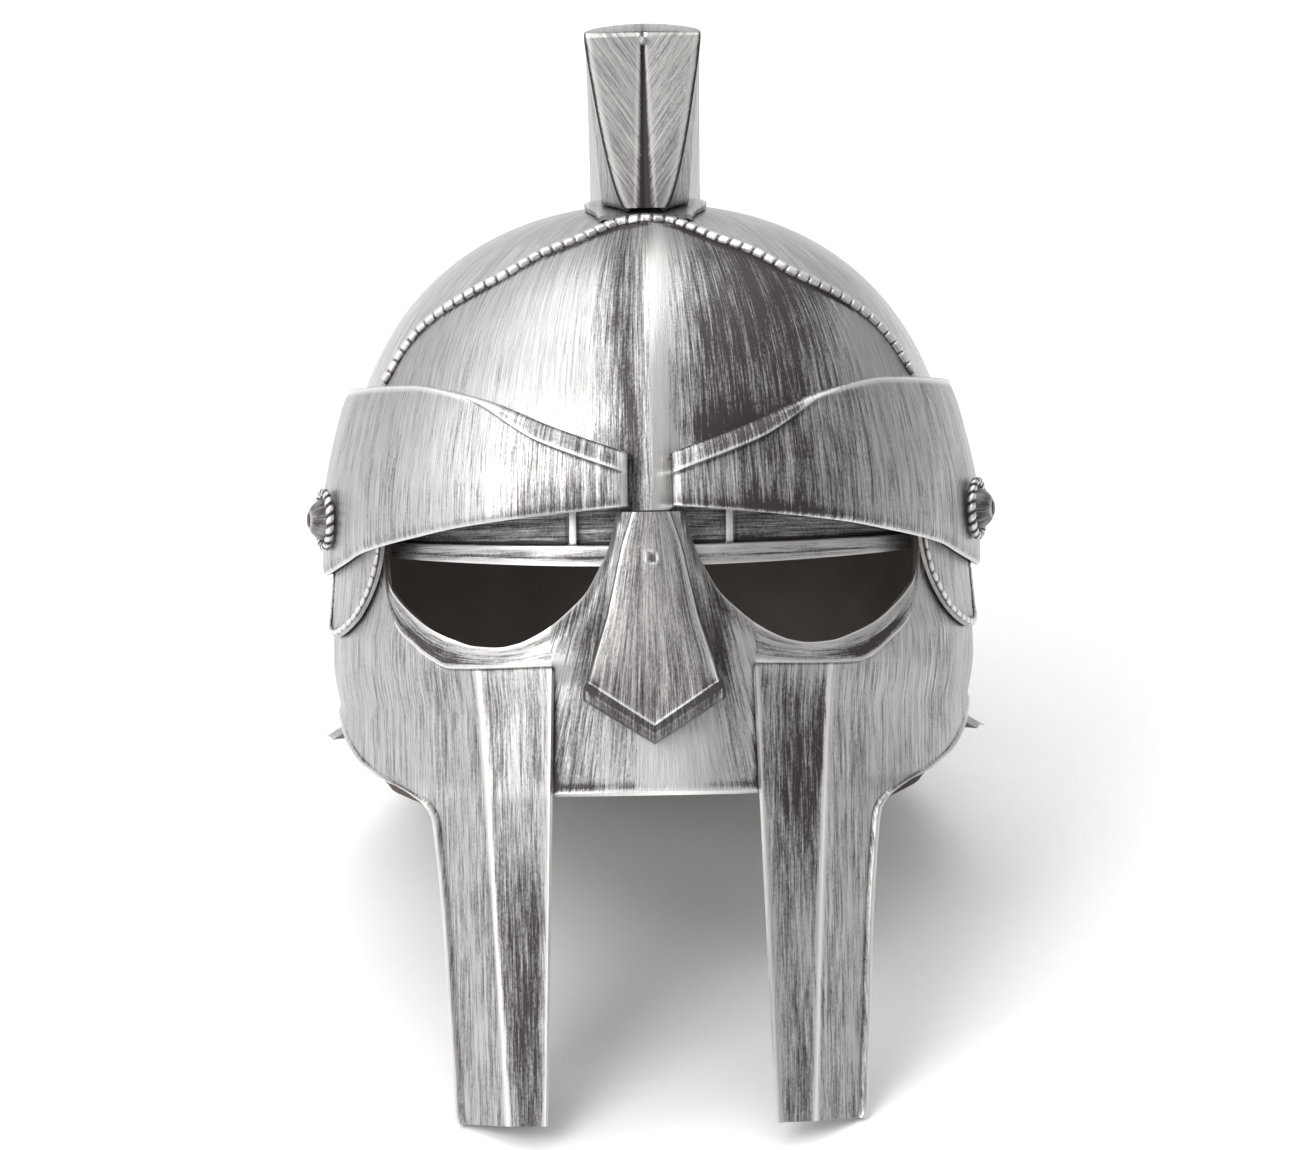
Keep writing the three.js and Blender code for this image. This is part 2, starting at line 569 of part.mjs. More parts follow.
// Kite-shaped nose guard, hollow behind, with a chin-like bevel at its foot
function nasalGuard() {
  const across = [
    { side: -1, edge: true }, { side: -0.93 }, { side: -0.45 }, { side: 0 }, { side: 0.45 },
    { side: 0.93 }, { side: 1, edge: true },
  ];
  return gridSurface(NASAL_ROWS.map((row) => across.map(({ side, edge }) => {
    const x = side * lerp(NASAL_HALF_TOP, NASAL_HALF_FOOT, row.width);
    const z = -NASAL_LENGTH * (row.down - row.lift * NASAL_CORNER_RISE * Math.abs(side));
    const base = maskPoint(planAngle(x, DOME_HALF_WIDTH), z, -MUZZLE_RECESS).y;
    const crown = NASAL_CROWN * (1 - side * side);
    const out = edge ? NASAL_EDGE_OUT : lerp(NASAL_OUT_TOP, NASAL_OUT_FOOT, row.out) + crown;
    return new THREE.Vector3(x, base - out, z);
  })));
}

// Rim band seen through the eyes: a strip across, and the recessed wall with two ribs above it
function rimBand() {
  const front = MASK_FRONT - RIM_BAND_SET_BACK;
  const halfWidth = DOME_HALF_WIDTH - NAPE_INSET - SEAT_GAP;
  const reach = FACET_REACH * DOME_HALF_WIDTH;
  const ribs = [-1, 1].flatMap((side) => [-0.6, -0.5, 0.5, 0.6].map((s) => side * RIB_PLACE + s * RIB_WIDTH));
  const others = shares(14).map((share) => lerp(-reach, reach, share))
    .filter((x) => Math.abs(Math.abs(x) - RIB_PLACE) > RIB_WIDTH);
  const places = [...ribs, ...others].sort((a, b) => a - b);
  const columns = places.map((x) => {
    const arch = lerp(1, RIM_BAND_ARCH, (x / reach) ** 2);
    const isRib = Math.abs(Math.abs(x) - RIB_PLACE) < 0.55 * RIB_WIDTH;
    const recess = RIM_BAND_STEP - (isRib ? RIB_RISE : 0);
    const section = [
      { z: FACE_EDGE - SEAT_GAP, back: recess },
      { z: -RIM_STRIP_TOP * arch, back: recess },
      { z: -RIM_STRIP_TOP * arch - RIM_STRIP_BEVEL, back: 0 },
      { z: -RIM_STRIP_FOOT * arch, back: 0 },
    ];
    return section.map(({ z, back }) => {
      const plan = planPoint(planAngle(x, halfWidth), halfWidth, front - back);
      return new THREE.Vector3(plan.x, plan.y, z);
    });
  });
  return gridSurface(columns[0].map((_, row) => columns.map((column) => column[row])));
}

// Tongue over the right temple, from behind the brow band down over the cheek
function templeTab() {
  const outside = 2 * SEAT_GAP + TAB_WALL;
  const columns = shares(10).map((share) => {
    const across = lerp(-1, 1, share);
    const y = -TAB_CENTRE + across * TAB_HALF_WIDTH * 0.999;
    const foot = -TAB_TOP - 1 - (TAB_DROP - TAB_TOP - 1) * Math.sqrt(Math.max(0, 1 - across * across));
    return shares(5).map((row) => {
      const z = lerp(-TAB_TOP, foot, row);
      const halfWidth = halfWidthAt(MASK_WIDTHS, z) + outside;
      const front = MASK_FRONT + outside;
      const x = halfWidth * (1 - (Math.abs(y) / front) ** PLAN_ROUNDNESS) ** (1 / PLAN_ROUNDNESS);
      return new THREE.Vector3(x, y, z);
    });
  });
  return gridSurface(columns[0].map((_, row) => columns.map((column) => column[row])));
}

// Half round stud with a blind hole for its tip, standing along +z
function studGeometry() {
  const holeRadius = STUD_TIP_RADIUS + SEAT_GAP / 2;
  const from = Math.acos(holeRadius / STUD_RADIUS);
  const arc = shares(5).map((share) => {
    const angle = lerp(0, from, share);
    return new THREE.Vector2(STUD_RADIUS * Math.cos(angle), STUD_RADIUS * Math.sin(angle));
  });
  const floor = STUD_RADIUS - STUD_HOLE_DEPTH;
  const hole = [new THREE.Vector2(holeRadius, floor), new THREE.Vector2(0, floor)];
  return standing(new THREE.LatheGeometry([new THREE.Vector2(0, 0), ...arc, ...hole], 14));
}

// A lathe or cylinder geometry turned from its own +y axis to +z
function standing(geometry) {
  return geometry.rotateX(rad(90));
}

// Place on the brow band where it faces a stud's direction
function studPlace() {
  const halfWidth = halfWidthAt(BAND_WIDTHS, 0);
  const front = bandFront(halfWidth);
  const tangent = Math.tan(rad(STUD_AZIMUTH)) * front / halfWidth;
  const angle = Math.atan(tangent ** (1 / (2 - 2 / PLAN_ROUNDNESS)));
  return bandPoint(angle, 0, 0);
}

function addStud(side, sideName) {
  const place = studPlace();
  const seat = new THREE.Group();
  seat.position.set(side * place.x, place.y, place.z);
  seat.rotation.set(0, 0, side * rad(STUD_AZIMUTH));
  const parts = [
    ["stud", studGeometry(), "darkSilver", SEAT_GAP],
    ["stud_tip", standing(new THREE.CylinderGeometry(STUD_TIP_RADIUS, STUD_TIP_RADIUS, STUD_TIP_LENGTH, 12)),
      "black", SEAT_GAP + STUD_RADIUS - STUD_HOLE_DEPTH + SEAT_GAP / 2 + STUD_TIP_LENGTH / 2],
    ["stud_ring", new THREE.TorusGeometry(RING_RADIUS, RING_TUBE, 6, 20), "silver", SEAT_GAP + RING_TUBE],
  ];
  for (const [name, geometry, finish, outside] of parts) {
    const mesh = addPiece(`${name}_${sideName}`, geometry, finish);
    mesh.rotation.x = rad(90);
    mesh.position.y = -outside;
    seat.add(mesh);
  }
  helmet.add(seat);
}

// Point over the middle of the dome, at an angle up from the front and over to the back
function midlinePoint(elevation, outside) {
  const isBack = elevation > rad(90);
  return domePoint(isBack ? rad(180) : 0, isBack ? rad(180) - elevation : elevation, outside);
}

// Point of a dome layer that stands beside a point of its midline
function layerPoint(x, middle, outside) {
  const depth = (middle.y > 0 ? DOME_BACK : DOME_FRONT) + outside;
  const across = (Math.abs(x) / (DOME_HALF_WIDTH + outside)) ** PLAN_ROUNDNESS;
  let low = 0;
  let high = 1;
  for (let step = 0; step < 30; step += 1) {
    const scale = (low + high) / 2;
    const along = (Math.abs(scale * middle.y) / depth) ** PLAN_ROUNDNESS;
    const up = (Math.abs(scale * middle.z) / (DOME_HEIGHT + outside)) ** DOME_ROUNDNESS;
    const isOutside = (across + along) ** (DOME_ROUNDNESS / PLAN_ROUNDNESS) + up > 1;
    if (isOutside) high = scale;
    else low = scale;
  }
  return middle.clone().multiplyScalar(low).setX(x);
}

// Section planes of the crest, from its front edge over the top to its rear end
function crestStations() {
  const outside = SADDLE_GAP + SADDLE_WALL + SEAT_GAP;
  return CREST_SHARES.map((share) => {
    const elevation = rad(lerp(CREST_FRONT_ELEVATION, CREST_REAR_ELEVATION, share));
    const base = midlinePoint(elevation, outside);
    const ahead = midlinePoint(elevation + 0.01, outside);
    const outward = new THREE.Vector3(0, base.z - ahead.z, ahead.y - base.y).normalize();
    const lean = new THREE.Vector3(0, -CREST_LEAN, CREST_HEIGHT).normalize();
    outward.lerp(lean, Math.max(0, 1 - share * 4)).normalize();
    const height = lerp(CREST_HEIGHT, CREST_REAR_HEIGHT, share ** CREST_FALL);
    return { share, base, outward, height };
  });
}

// Crest: hollow comb, open below and at the front, where its front panel closes it
function crestShell() {
  const sideShares = [0, 0.33, 0.66, 0.96];
  const rows = crestStations().map(({ share, base, outward, height }) => {
    const halfBase = share === 0 ? CREST_FRONT_HALF_BASE : CREST_HALF_BASE;
    const section = sideShares.map((up) => ({ x: lerp(halfBase, CREST_HALF_TOP, up ** CREST_SPREAD), up }));
    section.push({ x: 0.9 * CREST_HALF_TOP, up: 1 }, { x: 0.45 * CREST_HALF_TOP, up: 1 });
    const otherSide = [...section].reverse().map((point) => ({ x: -point.x, up: point.up }));
    const whole = [...section, { x: 0, up: 1 }, ...otherSide];
    return whole.map(({ x, up }) => {
      const crowned = up === 1 ? Math.min(1, 0.3 + share * 6) : 0;
      const crown = CREST_CROWN * (1 - (x / CREST_HALF_TOP) ** 2) * crowned;
      return base.clone().addScaledVector(outward, height * up + crown).add(new THREE.Vector3(x, 0, 0));
    });
  });
  const last = rows[rows.length - 1];
  const middle = last.map((point) => point.clone().setX(0));
  rows.push(middle);
  return gridSurface(rows.map((row) => row.reverse()).reverse());
}

// Tapering panel that closes the front of the crest
function crestFront() {
  const [first] = crestStations();
  return gridSurface([0.985, 0.66, 0.33, 0.02].map((up) => [-1, -0.5, 0, 0.5, 1].map((side) => {
    const half = lerp(CREST_FRONT_HALF_BASE, CREST_HALF_TOP, up ** CREST_SPREAD);
    const bow = CREST_BOW * (1 - side * side);
    return first.base.clone().addScaledVector(first.outward, first.height * up)
      .add(new THREE.Vector3(side * half, -SEAT_GAP - CREST_WALL - bow, 0));
  })));
}

function addCrestPin() {
  const [first] = crestStations();
  const pin = addPiece("crest_pin", new THREE.SphereGeometry(PIN_RADIUS, 10, 8), "darkSilver");
  pin.position.copy(first.base).addScaledVector(first.outward, 0.95 * CREST_HEIGHT);
  pin.position.y -= SEAT_GAP + CREST_WALL + CREST_BOW + SEAT_GAP + PIN_RADIUS;
}

// Band along the middle of the dome that the crest stands on
function crestSaddle() {
  const outside = SADDLE_GAP + SADDLE_WALL;
  const rows = CREST_SHARES.map((share) => {
    const elevation = rad(lerp(CREST_FRONT_ELEVATION, CREST_REAR_ELEVATION, share));
    return [-1, -0.6, 0, 0.6, 1].map((side) =>
      layerPoint(side * SADDLE_HALF_WIDTH, midlinePoint(elevation, outside), outside));
  });
  return gridSurface(rows.reverse());
}

addPiece("skull_dome", thicken(skullDome(), DOME_WALL));
addPiece("neck_guard", thicken(neckGuard(), NECK_WALL, (point) => point.z < -NECK_DROP + 0.5));
addPiece("crest_saddle", thicken(crestSaddle(), SADDLE_WALL));
addPiece("crest", thicken(crestShell(), CREST_WALL));
addPiece("crest_front", thicken(crestFront(), CREST_WALL));
addCrestPin();
addPiece("forehead_plate", thicken(foreheadPlate(), PLATE_WALL));
addPiece("forehead_trim", thicken(foreheadTrim(), TRIM_RISE));
addPiece("rim_band", thicken(rimBand(), RIM_BAND_WALL), "darkSilver");
addPiece("muzzle_plate", thicken(muzzlePlate(), MASK_WALL));
addPiece("nasal_guard", thicken(nasalGuard(), NASAL_WALL), "darkSilver");

const isBarEnd = (point) => point.z < -BAR_LENGTH + 0.5;
const sidedPieces = [
  ["brow_band", browBand(), BAND_WALL],
  ["cheek_guard", cheekGuard(), MASK_WALL],
  ["temple_tab", templeTab(), TAB_WALL],
];
for (const [name, surface, wall] of sidedPieces) {
  addPiece(`${name}_right`, thicken(surface, wall, isBarEnd));
  addPiece(`${name}_left`, thicken(mirrored(surface), wall, isBarEnd));
}
addStud(1, "right");
addStud(-1, "left");

// Corners of every piece, in the frame of the object that holds them
function cornersOf(object) {
  const corners = [];
  object.updateMatrixWorld(true);
  object.traverse((child) => {
    if (!child.isMesh) return;
    const position = child.geometry.getAttribute("position");
    for (let i = 0; i < position.count; i += 1) {
      corners.push(new THREE.Vector3().fromBufferAttribute(position, i).applyMatrix4(child.matrixWorld));
    }
  });
  return corners;
}

// The helmet is set down tipped back, so that the bar ends and the neck guard's edge share one plane
function restTilt() {
  const corners = cornersOf(helmet);
  const lowest = Math.min(...corners.map((corner) => corner.z));
  const ends = corners.filter((corner) => corner.z < lowest + 1);
  const heel = ends.reduce((rear, corner) => (corner.y > rear.y ? corner : rear));
  const behind = corners.filter((corner) => corner.y > heel.y + DOME_BACK / 2);
  return Math.min(...behind.map((corner) => Math.atan2(corner.z - heel.z, corner.y - heel.y)));
}

const tilt = restTilt();
helmet.rotation.x = -tilt;
const box = new THREE.Box3().setFromPoints(cornersOf(helmet));
helmet.position.set(-(box.min.x + box.max.x) / 2, -(box.min.y + box.max.y) / 2, -box.min.z);

const root = new THREE.Group();
root.add(helmet);

export default root;
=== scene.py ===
"""Gladiator helmet in dry-brushed silver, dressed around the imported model."""

import json
import math

import bpy
import numpy as np
from mathutils import Matrix, Vector


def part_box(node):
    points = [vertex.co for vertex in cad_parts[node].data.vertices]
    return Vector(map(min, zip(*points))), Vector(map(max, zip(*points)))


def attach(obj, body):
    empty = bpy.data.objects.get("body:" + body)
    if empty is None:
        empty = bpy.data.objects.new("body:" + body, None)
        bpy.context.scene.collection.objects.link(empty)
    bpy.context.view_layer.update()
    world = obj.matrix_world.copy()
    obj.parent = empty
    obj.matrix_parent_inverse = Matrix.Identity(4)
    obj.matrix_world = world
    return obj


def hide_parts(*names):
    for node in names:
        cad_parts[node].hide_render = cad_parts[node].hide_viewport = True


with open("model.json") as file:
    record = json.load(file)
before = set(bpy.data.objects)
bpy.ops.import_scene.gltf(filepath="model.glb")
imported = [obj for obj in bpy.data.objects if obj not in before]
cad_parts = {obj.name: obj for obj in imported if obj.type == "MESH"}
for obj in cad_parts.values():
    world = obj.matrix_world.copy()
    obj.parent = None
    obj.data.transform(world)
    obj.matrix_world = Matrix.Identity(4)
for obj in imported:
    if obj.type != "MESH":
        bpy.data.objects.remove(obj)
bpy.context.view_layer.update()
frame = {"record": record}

# Lengths are millimetres as worn: x across, -y to the front, z up from the studs. Angles are
# degrees. Counts of samples and the weights of tones stand where they are used.
MM = 0.001
WELD_STEPS = 500                 # steps in a millimetre, within which points are joined
BRUSH_REACH = 100.0              # millimetres of stroke coordinate in a radian of plan angle
# Dome
PLAN_ROUNDNESS = 2.2
DOME_ROUNDNESS = 2.25
DOME_HALF_WIDTH = 97.0
DOME_HEIGHT = 99.5
DOME_FRONT = 98.0
DOME_BACK = 112.0
DOME_WALL = 2.4
NAPE_DROP = 52.0
NAPE_INSET = 3.0
FACE_EDGE = 8.0
SEAT_GAP = 0.5
# Forehead plate and the laced cord on it
PLATE_WALL = 1.6
PLATE_OUTSIDE = SEAT_GAP + PLATE_WALL
KEEL_RISE = 3.0
KEEL_HALF_WIDTH = 5.5
PLATE_FOOT = 4.0
KEEL_FOOT = 0.5
PLATE_HALF_ANGLE = 76.0
TRIM_WIDTH = 3.0
TRIM_RISE = 1.5
STITCH_PITCH = 3.9
CORD_WALL = 0.5
# Brow band
BAND_WALL = 2.2
BAND_FLARE = 8.7
BAND_FLARE_SHARE = 1.077
BAND_END_TAPER = 0.85
BAND_REAR_ANGLE = 101.0
BAND_ROUND_ANGLE = 88.0
BAND_GAP_HALF = 6.6
BROW_RISE = 2.6
# Cheeks, bars and muzzle
MASK_WALL = 2.4
MASK_FRONT = 106.5
MASK_TOP = 3.0
MASK_REAR_ANGLE = 97.0
BAR_LENGTH = 188.0
BAR_SET_BACK = 7.0
BAR_INNER_TOP = 31.2
BAR_INNER_END = 35.6
RIDGE_TOP = 54.6
RIDGE_END = 47.2
RIDGE_RISE = 3.4
BAR_EDGE_RISE = 2.2
EYE_BEVEL_DEPTH = 3.2
BEVEL_STEP = 1.6
FACET_REACH = 0.84
LIP_DROP = 86.7
MUZZLE_RECESS = 1.2
MUZZLE_SIDE = BAR_INNER_TOP + 0.2
# Nose guard
NASAL_WALL = 2.0
NASAL_HALF_TOP = 6.0
NASAL_HALF_FOOT = 21.7
NASAL_LENGTH = 71.0
NASAL_OUT_TOP = 3.5
NASAL_OUT_FOOT = 15.0
NASAL_EDGE_OUT = 1.2
NASAL_CROWN = 1.2
NASAL_CORNER_RISE = 0.193
NASAL_FACE = 0.955
DIMPLE_DROP = 14.2
# Strip and ribbed recess behind the eyes
RIM_BAND_WALL = 1.6
RIM_BAND_SET_BACK = 9.0
RIM_BAND_STEP = 4.5
RIM_STRIP_TOP = 9.6
RIM_STRIP_FOOT = 16.5
RIM_BAND_ARCH = 0.76
RIB_PLACE = 24.3
RIB_WIDTH = 3.0
RIB_RISE = 3.0
# Temple tabs
TAB_WALL = 1.3
TAB_CENTRE = 34.0
TAB_HALF_WIDTH = 32.0
TAB_DROP = 37.0
TAB_TOP = 4.0
# Studs and the cords round them
STUD_RADIUS = 6.9
STUD_AZIMUTH = 75.0
STUD_TIP_RADIUS = 2.2
RING_RADIUS = 8.7
RING_TUBE = 1.4
# Neck guard
NECK_WALL = 2.2
NECK_LAP = 7.0
NECK_FLARE = 12.0
NECK_BACK_FLARE = 15.0
NECK_DROP = 70.0
NECK_START_ANGLE = 99.0
# Crest, its front panel, pin and saddle
CREST_WALL = 2.2
CREST_HEIGHT = 56.5
CREST_REAR_HEIGHT = 26.0
CREST_FALL = 1.1
CREST_SPREAD = 1.0
PANEL_SPREAD = 0.6
CREST_HALF_TOP = 18.6
CREST_HALF_BASE = 13.8
CREST_FRONT_HALF_BASE = 5.8
CREST_FRONT_ELEVATION = 67.0
CREST_REAR_ELEVATION = 164.0
CREST_LEAN = 11.0
CREST_CROWN = 2.0
CREST_BOW = 1.2
PIN_RADIUS = 1.5
SADDLE_HALF_WIDTH = 19.5
SADDLE_FRONT_HALF_WIDTH = 15.0
SADDLE_WALL = 1.4
SADDLE_GAP = 0.8
CREST_OUTSIDE = SADDLE_GAP + SADDLE_WALL + SEAT_GAP

# Lines in front view: shares of the dome's half width, and of its height
TRIM_LINE = (
    (0, 0.083, 0.148, 0.213, 0.342, 0.472, 0.537, 0.669, 0.736, 0.803, 0.837, 0.9, 1.1),
    (0.942, 0.932, 0.909, 0.88, 0.83, 0.76, 0.73, 0.656, 0.604, 0.524, 0.468, 0.39, 0.34),
)
BAND_TOP_LINE = (
    (0.06, 0.356, 0.458, 0.55, 0.64, 0.732, 0.825, 1.1),
    (0.178, 0.281, 0.322, 0.355, 0.378, 0.399, 0.413, 0.417),
)
BAND_FOOT_LINE = (
    (0.06, 0.346, 0.62, 0.763, 0.856, 0.948, 1.0, 1.1),
    (0.017, -0.006, -0.038, -0.066, -0.086, -0.113, -0.142, -0.19),
)
BROW_WIDTH_LINE = ((0.06, 0.35, 0.68, 1.1), (0.062, 0.056, 0.004, 0.004))
EYE_LINE = (
    (0.106, 0.113, 0.14, 0.171, 0.211, 0.266, 0.32, 0.376, 0.433, 0.495, 0.567, 0.629,
     0.696, 0.758, 0.814, 0.84, 0.856, 0.866, 1.1),
    (0.03, -0.026, -0.118, -0.179, -0.246, -0.3, -0.344, -0.377, -0.4, -0.41, -0.405,
     -0.384, -0.352, -0.307, -0.251, -0.211, -0.121, 0.03, 0.03),
)
BEVEL_LINE = (
    (0.32, 0.572, 0.642, 0.696, 0.753, 0.81, 0.845, 0.866, 0.887, 1.1),
    (-0.467, -0.472, -0.471, -0.445, -0.396, -0.335, -0.251, -0.121, 0.01, 0.01),
)
# Outline of the cheek and bar: shares of the way down, and of the dome's half width
CHEEK_OUTLINE = (
    (0.325, 0.363, 0.398, 0.419, 0.44, 0.457, 0.474, 0.496, 0.522, 0.581, 0.672, 0.806,
     0.92, 0.99, 1.0),
    (1.031, 1.007, 0.964, 0.911, 0.847, 0.784, 0.737, 0.711, 0.704, 0.693, 0.68, 0.668,
     0.657, 0.651, 0.643),
)
# Half widths at heights: shares of the dome's height, and of its half width
MASK_WIDTHS = (
    (-3, -0.61, -0.52, -0.46, -0.38, -0.3, -0.12, 0.05),
    (1.034, 1.034, 1.049, 1.056, 1.055, 1.034, 1.019, 1.016),
)
BAND_WIDTHS = (
    (-0.2, -0.05, 0.09, 0.17, 0.26, 0.35, 0.42),
    (1.085, 1.085, 1.077, 1.063, 1.042, 1.017, 0.99),
)
# Columns across the bar's inner facet, from the inner edge at 1 to the ridge at 0
INNER_PLACES = np.array((1, 0.985, 0.96, 0.92, 0.84, 0.75, 0.66, 0.58, 0.5, 0.42, 0.34, 0.26,
                         0.18, 0.11, 0.06, 0.03, 0.012))
BELOW_BEVEL = 5.0                # key of the cheek's rows below the eye's bevel
# Sections of the nose guard: shares of the way down, of its width, of how far it stands out,
# and of the lift of its corners
NASAL_ROWS = (
    (0.0, 0.0, 0.0, 0.0), (0.14, 0.21, 0.1, 0.0), (0.45, 0.53, 0.42, 0.0), (0.7, 0.8, 0.75, 0.35),
    (0.912, 0.92, 1.0, 1.0), (0.95, 1.0, 0.76, 1.0), (0.984, 1.0, 0.62, 1.0), (1.0, 1.0, 0.12, 1.0),
)
NASAL_ROUNDED_KEYS = (4.06, 4.2, 4.5, 4.8, 4.94, 5, 5.1, 5.5, 5.9, 6, 6.1, 6.3, 6.6, 7)


def lerp(a, b, share):
    return a + (b - a) * share


def smooth(value, low, high):
    share = np.clip((value - low) / (high - low), 0, 1)
    return share * share * (3 - 2 * share)


def bump(distance, width):
    return np.exp(-((distance / width) ** 2))


def read_line(line, value):
    """Value of a line's second list, along a monotone cubic through its points."""
    x, y = np.array(line[0], float), np.array(line[1], float)
    step = np.diff(x)
    slope = np.diff(y) / step
    tangent = np.zeros(len(x))
    tangent[0], tangent[-1] = slope[0], slope[-1]
    for i in range(1, len(x) - 1):
        if slope[i - 1] * slope[i] > 0:
            near, far = 2 * step[i] + step[i - 1], step[i] + 2 * step[i - 1]
            tangent[i] = (near + far) / (near / slope[i - 1] + far / slope[i])
    value = np.clip(np.asarray(value, float), x[0], x[-1])
    i = np.clip(np.searchsorted(x, value) - 1, 0, len(x) - 2)
    t = (value - x[i]) / step[i]
    start = (1 + 2 * t) * (1 - t) ** 2 * y[i] + t * (1 - t) ** 2 * step[i] * tangent[i]
    end = t * t * (3 - 2 * t) * y[i + 1] + t * t * (t - 1) * step[i] * tangent[i + 1]
    return start + end


def height_of(line, x):
    return DOME_HEIGHT * read_line(line, np.abs(x) / DOME_HALF_WIDTH)


def half_width_at(table, z):
    return DOME_HALF_WIDTH * read_line(table, np.asarray(z) / DOME_HEIGHT)


def signed_power(value, power):
    return np.sign(value) * np.abs(value) ** power


def plan_point(angle, half_width, front, back=None):
    """Point of a rounded plan outline, with the angle counted from the front."""
    back = front if back is None else back
    power = 2 / PLAN_ROUNDNESS
    forward = signed_power(np.cos(angle), power)
    depth = np.where(forward > 0, front, back)
    return half_width * signed_power(np.sin(angle), power), -forward * depth


def plan_angle(x, half_width):
    share = np.minimum(1, np.abs(x) / half_width)
    return np.sign(x) * np.arcsin(share ** (PLAN_ROUNDNESS / 2))


def stack(x, y, z):
    return np.stack(np.broadcast_arrays(x, y, z), axis=-1).astype(float)


def unit(vectors):
    return vectors / np.maximum(np.linalg.norm(vectors, axis=-1, keepdims=True), 1e-9)


def run_along(line):
    """Length from the start of a line to each of its points."""
    return np.cumsum(np.r_[0, np.linalg.norm(np.diff(line, axis=0), axis=1)])


def even_on_eye(start, end, samples, count):
    """Places across that part the eye's edge into even steps."""
    x = np.linspace(start, end, samples)
    run = run_along(stack(x, 0, height_of(EYE_LINE, x)))
    return np.interp(np.linspace(0, run[-1], count), run, x)


def dome_point(angle, elevation, outside):
    """Point at a distance outside the dome's surface."""
    power = 2 / DOME_ROUNDNESS
    reach = signed_power(np.cos(elevation), power)
    height = signed_power(np.sin(elevation), power)
    x, y = plan_point(angle, DOME_HALF_WIDTH + outside, DOME_FRONT + outside, DOME_BACK + outside)
    return stack(x * reach, y * reach, (DOME_HEIGHT + outside) * height)


def elevation_at_height(z, outside):
    share = np.clip(np.asarray(z) / (DOME_HEIGHT + outside), 0, 1)
    return np.arcsin(share ** (DOME_ROUNDNESS / 2))


def elevation_at_line(angle, outside, line, below):
    """Elevation at which the dome meets a line of the front view, found by halving."""
    low = np.zeros(np.shape(angle))
    high = np.full(np.shape(angle), math.pi / 2)
    for _ in range(40):
        middle = (low + high) / 2
        point = dome_point(angle, middle, outside)
        over = point[..., 2] > height_of(line, point[..., 0]) - below
        high = np.where(over, middle, high)
        low = np.where(over, low, middle)
    return (low + high) / 2


def rest_matrix():
    """Turns and shifts worn coordinates to the frame's rest pose, in metres."""
    axis = frame["record"]["mounts"][0]["axis"]
    turn = Matrix.Rotation(-math.atan2(-axis[1], -axis[2]), 4, "X")
    low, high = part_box("crest_pin")
    shift = (low + high) / 2 - turn @ Vector(pin_place()) * MM
    return Matrix.Translation(shift) @ turn


def midline_point(elevation, outside):
    back = elevation > math.pi / 2
    angle = np.where(back, math.pi, 0.0)
    up = np.where(back, math.pi - elevation, elevation)
    return dome_point(angle, up, outside)


def crest_frame(share):
    """Base point, outward direction and height of the crest, a share of the way back."""
    elevation = np.radians(lerp(CREST_FRONT_ELEVATION, CREST_REAR_ELEVATION, share))
    base = midline_point(elevation, CREST_OUTSIDE)
    ahead = midline_point(elevation + 0.01, CREST_OUTSIDE)
    outward = unit(stack(0, base[..., 2] - ahead[..., 2], ahead[..., 1] - base[..., 1]))
    lean = unit(np.array((0, -CREST_LEAN, CREST_HEIGHT)))
    outward = unit(lerp(outward, lean, max(0, 1 - share * 4)))
    height = lerp(CREST_HEIGHT, CREST_REAR_HEIGHT, share ** CREST_FALL)
    return base, outward, height


def pin_place():
    """Middle of the small pin, high on the front panel."""
    base, outward, _ = crest_frame(0.0)
    place = base + outward * 0.95 * CREST_HEIGHT
    place[1] -= SEAT_GAP + CREST_WALL + CREST_BOW + SEAT_GAP + PIN_RADIUS
    return place


TO_REST = rest_matrix()
BAR_START = float(-height_of(BEVEL_LINE, 0.5 * DOME_HALF_WIDTH))


# Meshes
def closed_wall(points, faces, wall, level_below):
    """Inner points of a wall of even thickness behind an open surface, and the faces of its rim."""
    a, b, c = points[faces[:, 0]], points[faces[:, 1]], points[faces[:, 2]]
    across = np.cross(b - a, c - a)
    normals = np.zeros_like(points)
    for corner in range(faces.shape[1]):
        np.add.at(normals, faces[:, corner], across)
    if level_below is not None:
        normals[points[:, 2] < level_below, 2] = 0
    inner = points - unit(normals) * wall
    count, size = len(points), faces.shape[1]
    edges = np.concatenate([faces[:, [k, (k + 1) % size]] for k in range(size)])
    keys = set(map(tuple, edges.tolist()))
    rim = [(v, u, count + u, count + v) for u, v in keys if (v, u) not in keys and u != v]
    return inner, np.array(sorted(rim)).reshape(-1, 4)


def weld(points, faces):
    """Joins points that fall together, such as at a pole or where a grid closes."""
    keys = np.round(points * WELD_STEPS).astype(np.int64)
    _, first, index = np.unique(keys, axis=0, return_index=True, return_inverse=True)
    order = np.argsort(first)
    rank = np.empty_like(order)
    rank[order] = np.arange(len(order))
    return points[np.sort(first)], rank[index.reshape(-1)][faces], np.sort(first)


def grid_faces(rows, columns, keep=None):
    i, j = np.meshgrid(np.arange(rows - 1), np.arange(columns - 1), indexing="ij")
    corner = i * columns + j
    faces = np.stack([corner, corner + columns, corner + columns + 1, corner + 1], axis=-1)
    return faces.reshape(-1, 4) if keep is None else faces[keep].reshape(-1, 4)


def polygons(faces):
    """Faces without the repeated corners that welding leaves."""
    result = []
    for face in faces.tolist():
        corners = [v for k, v in enumerate(face) if v != face[k - 1]]
        if len(corners) > 2:
            result.append(corners)
    return result


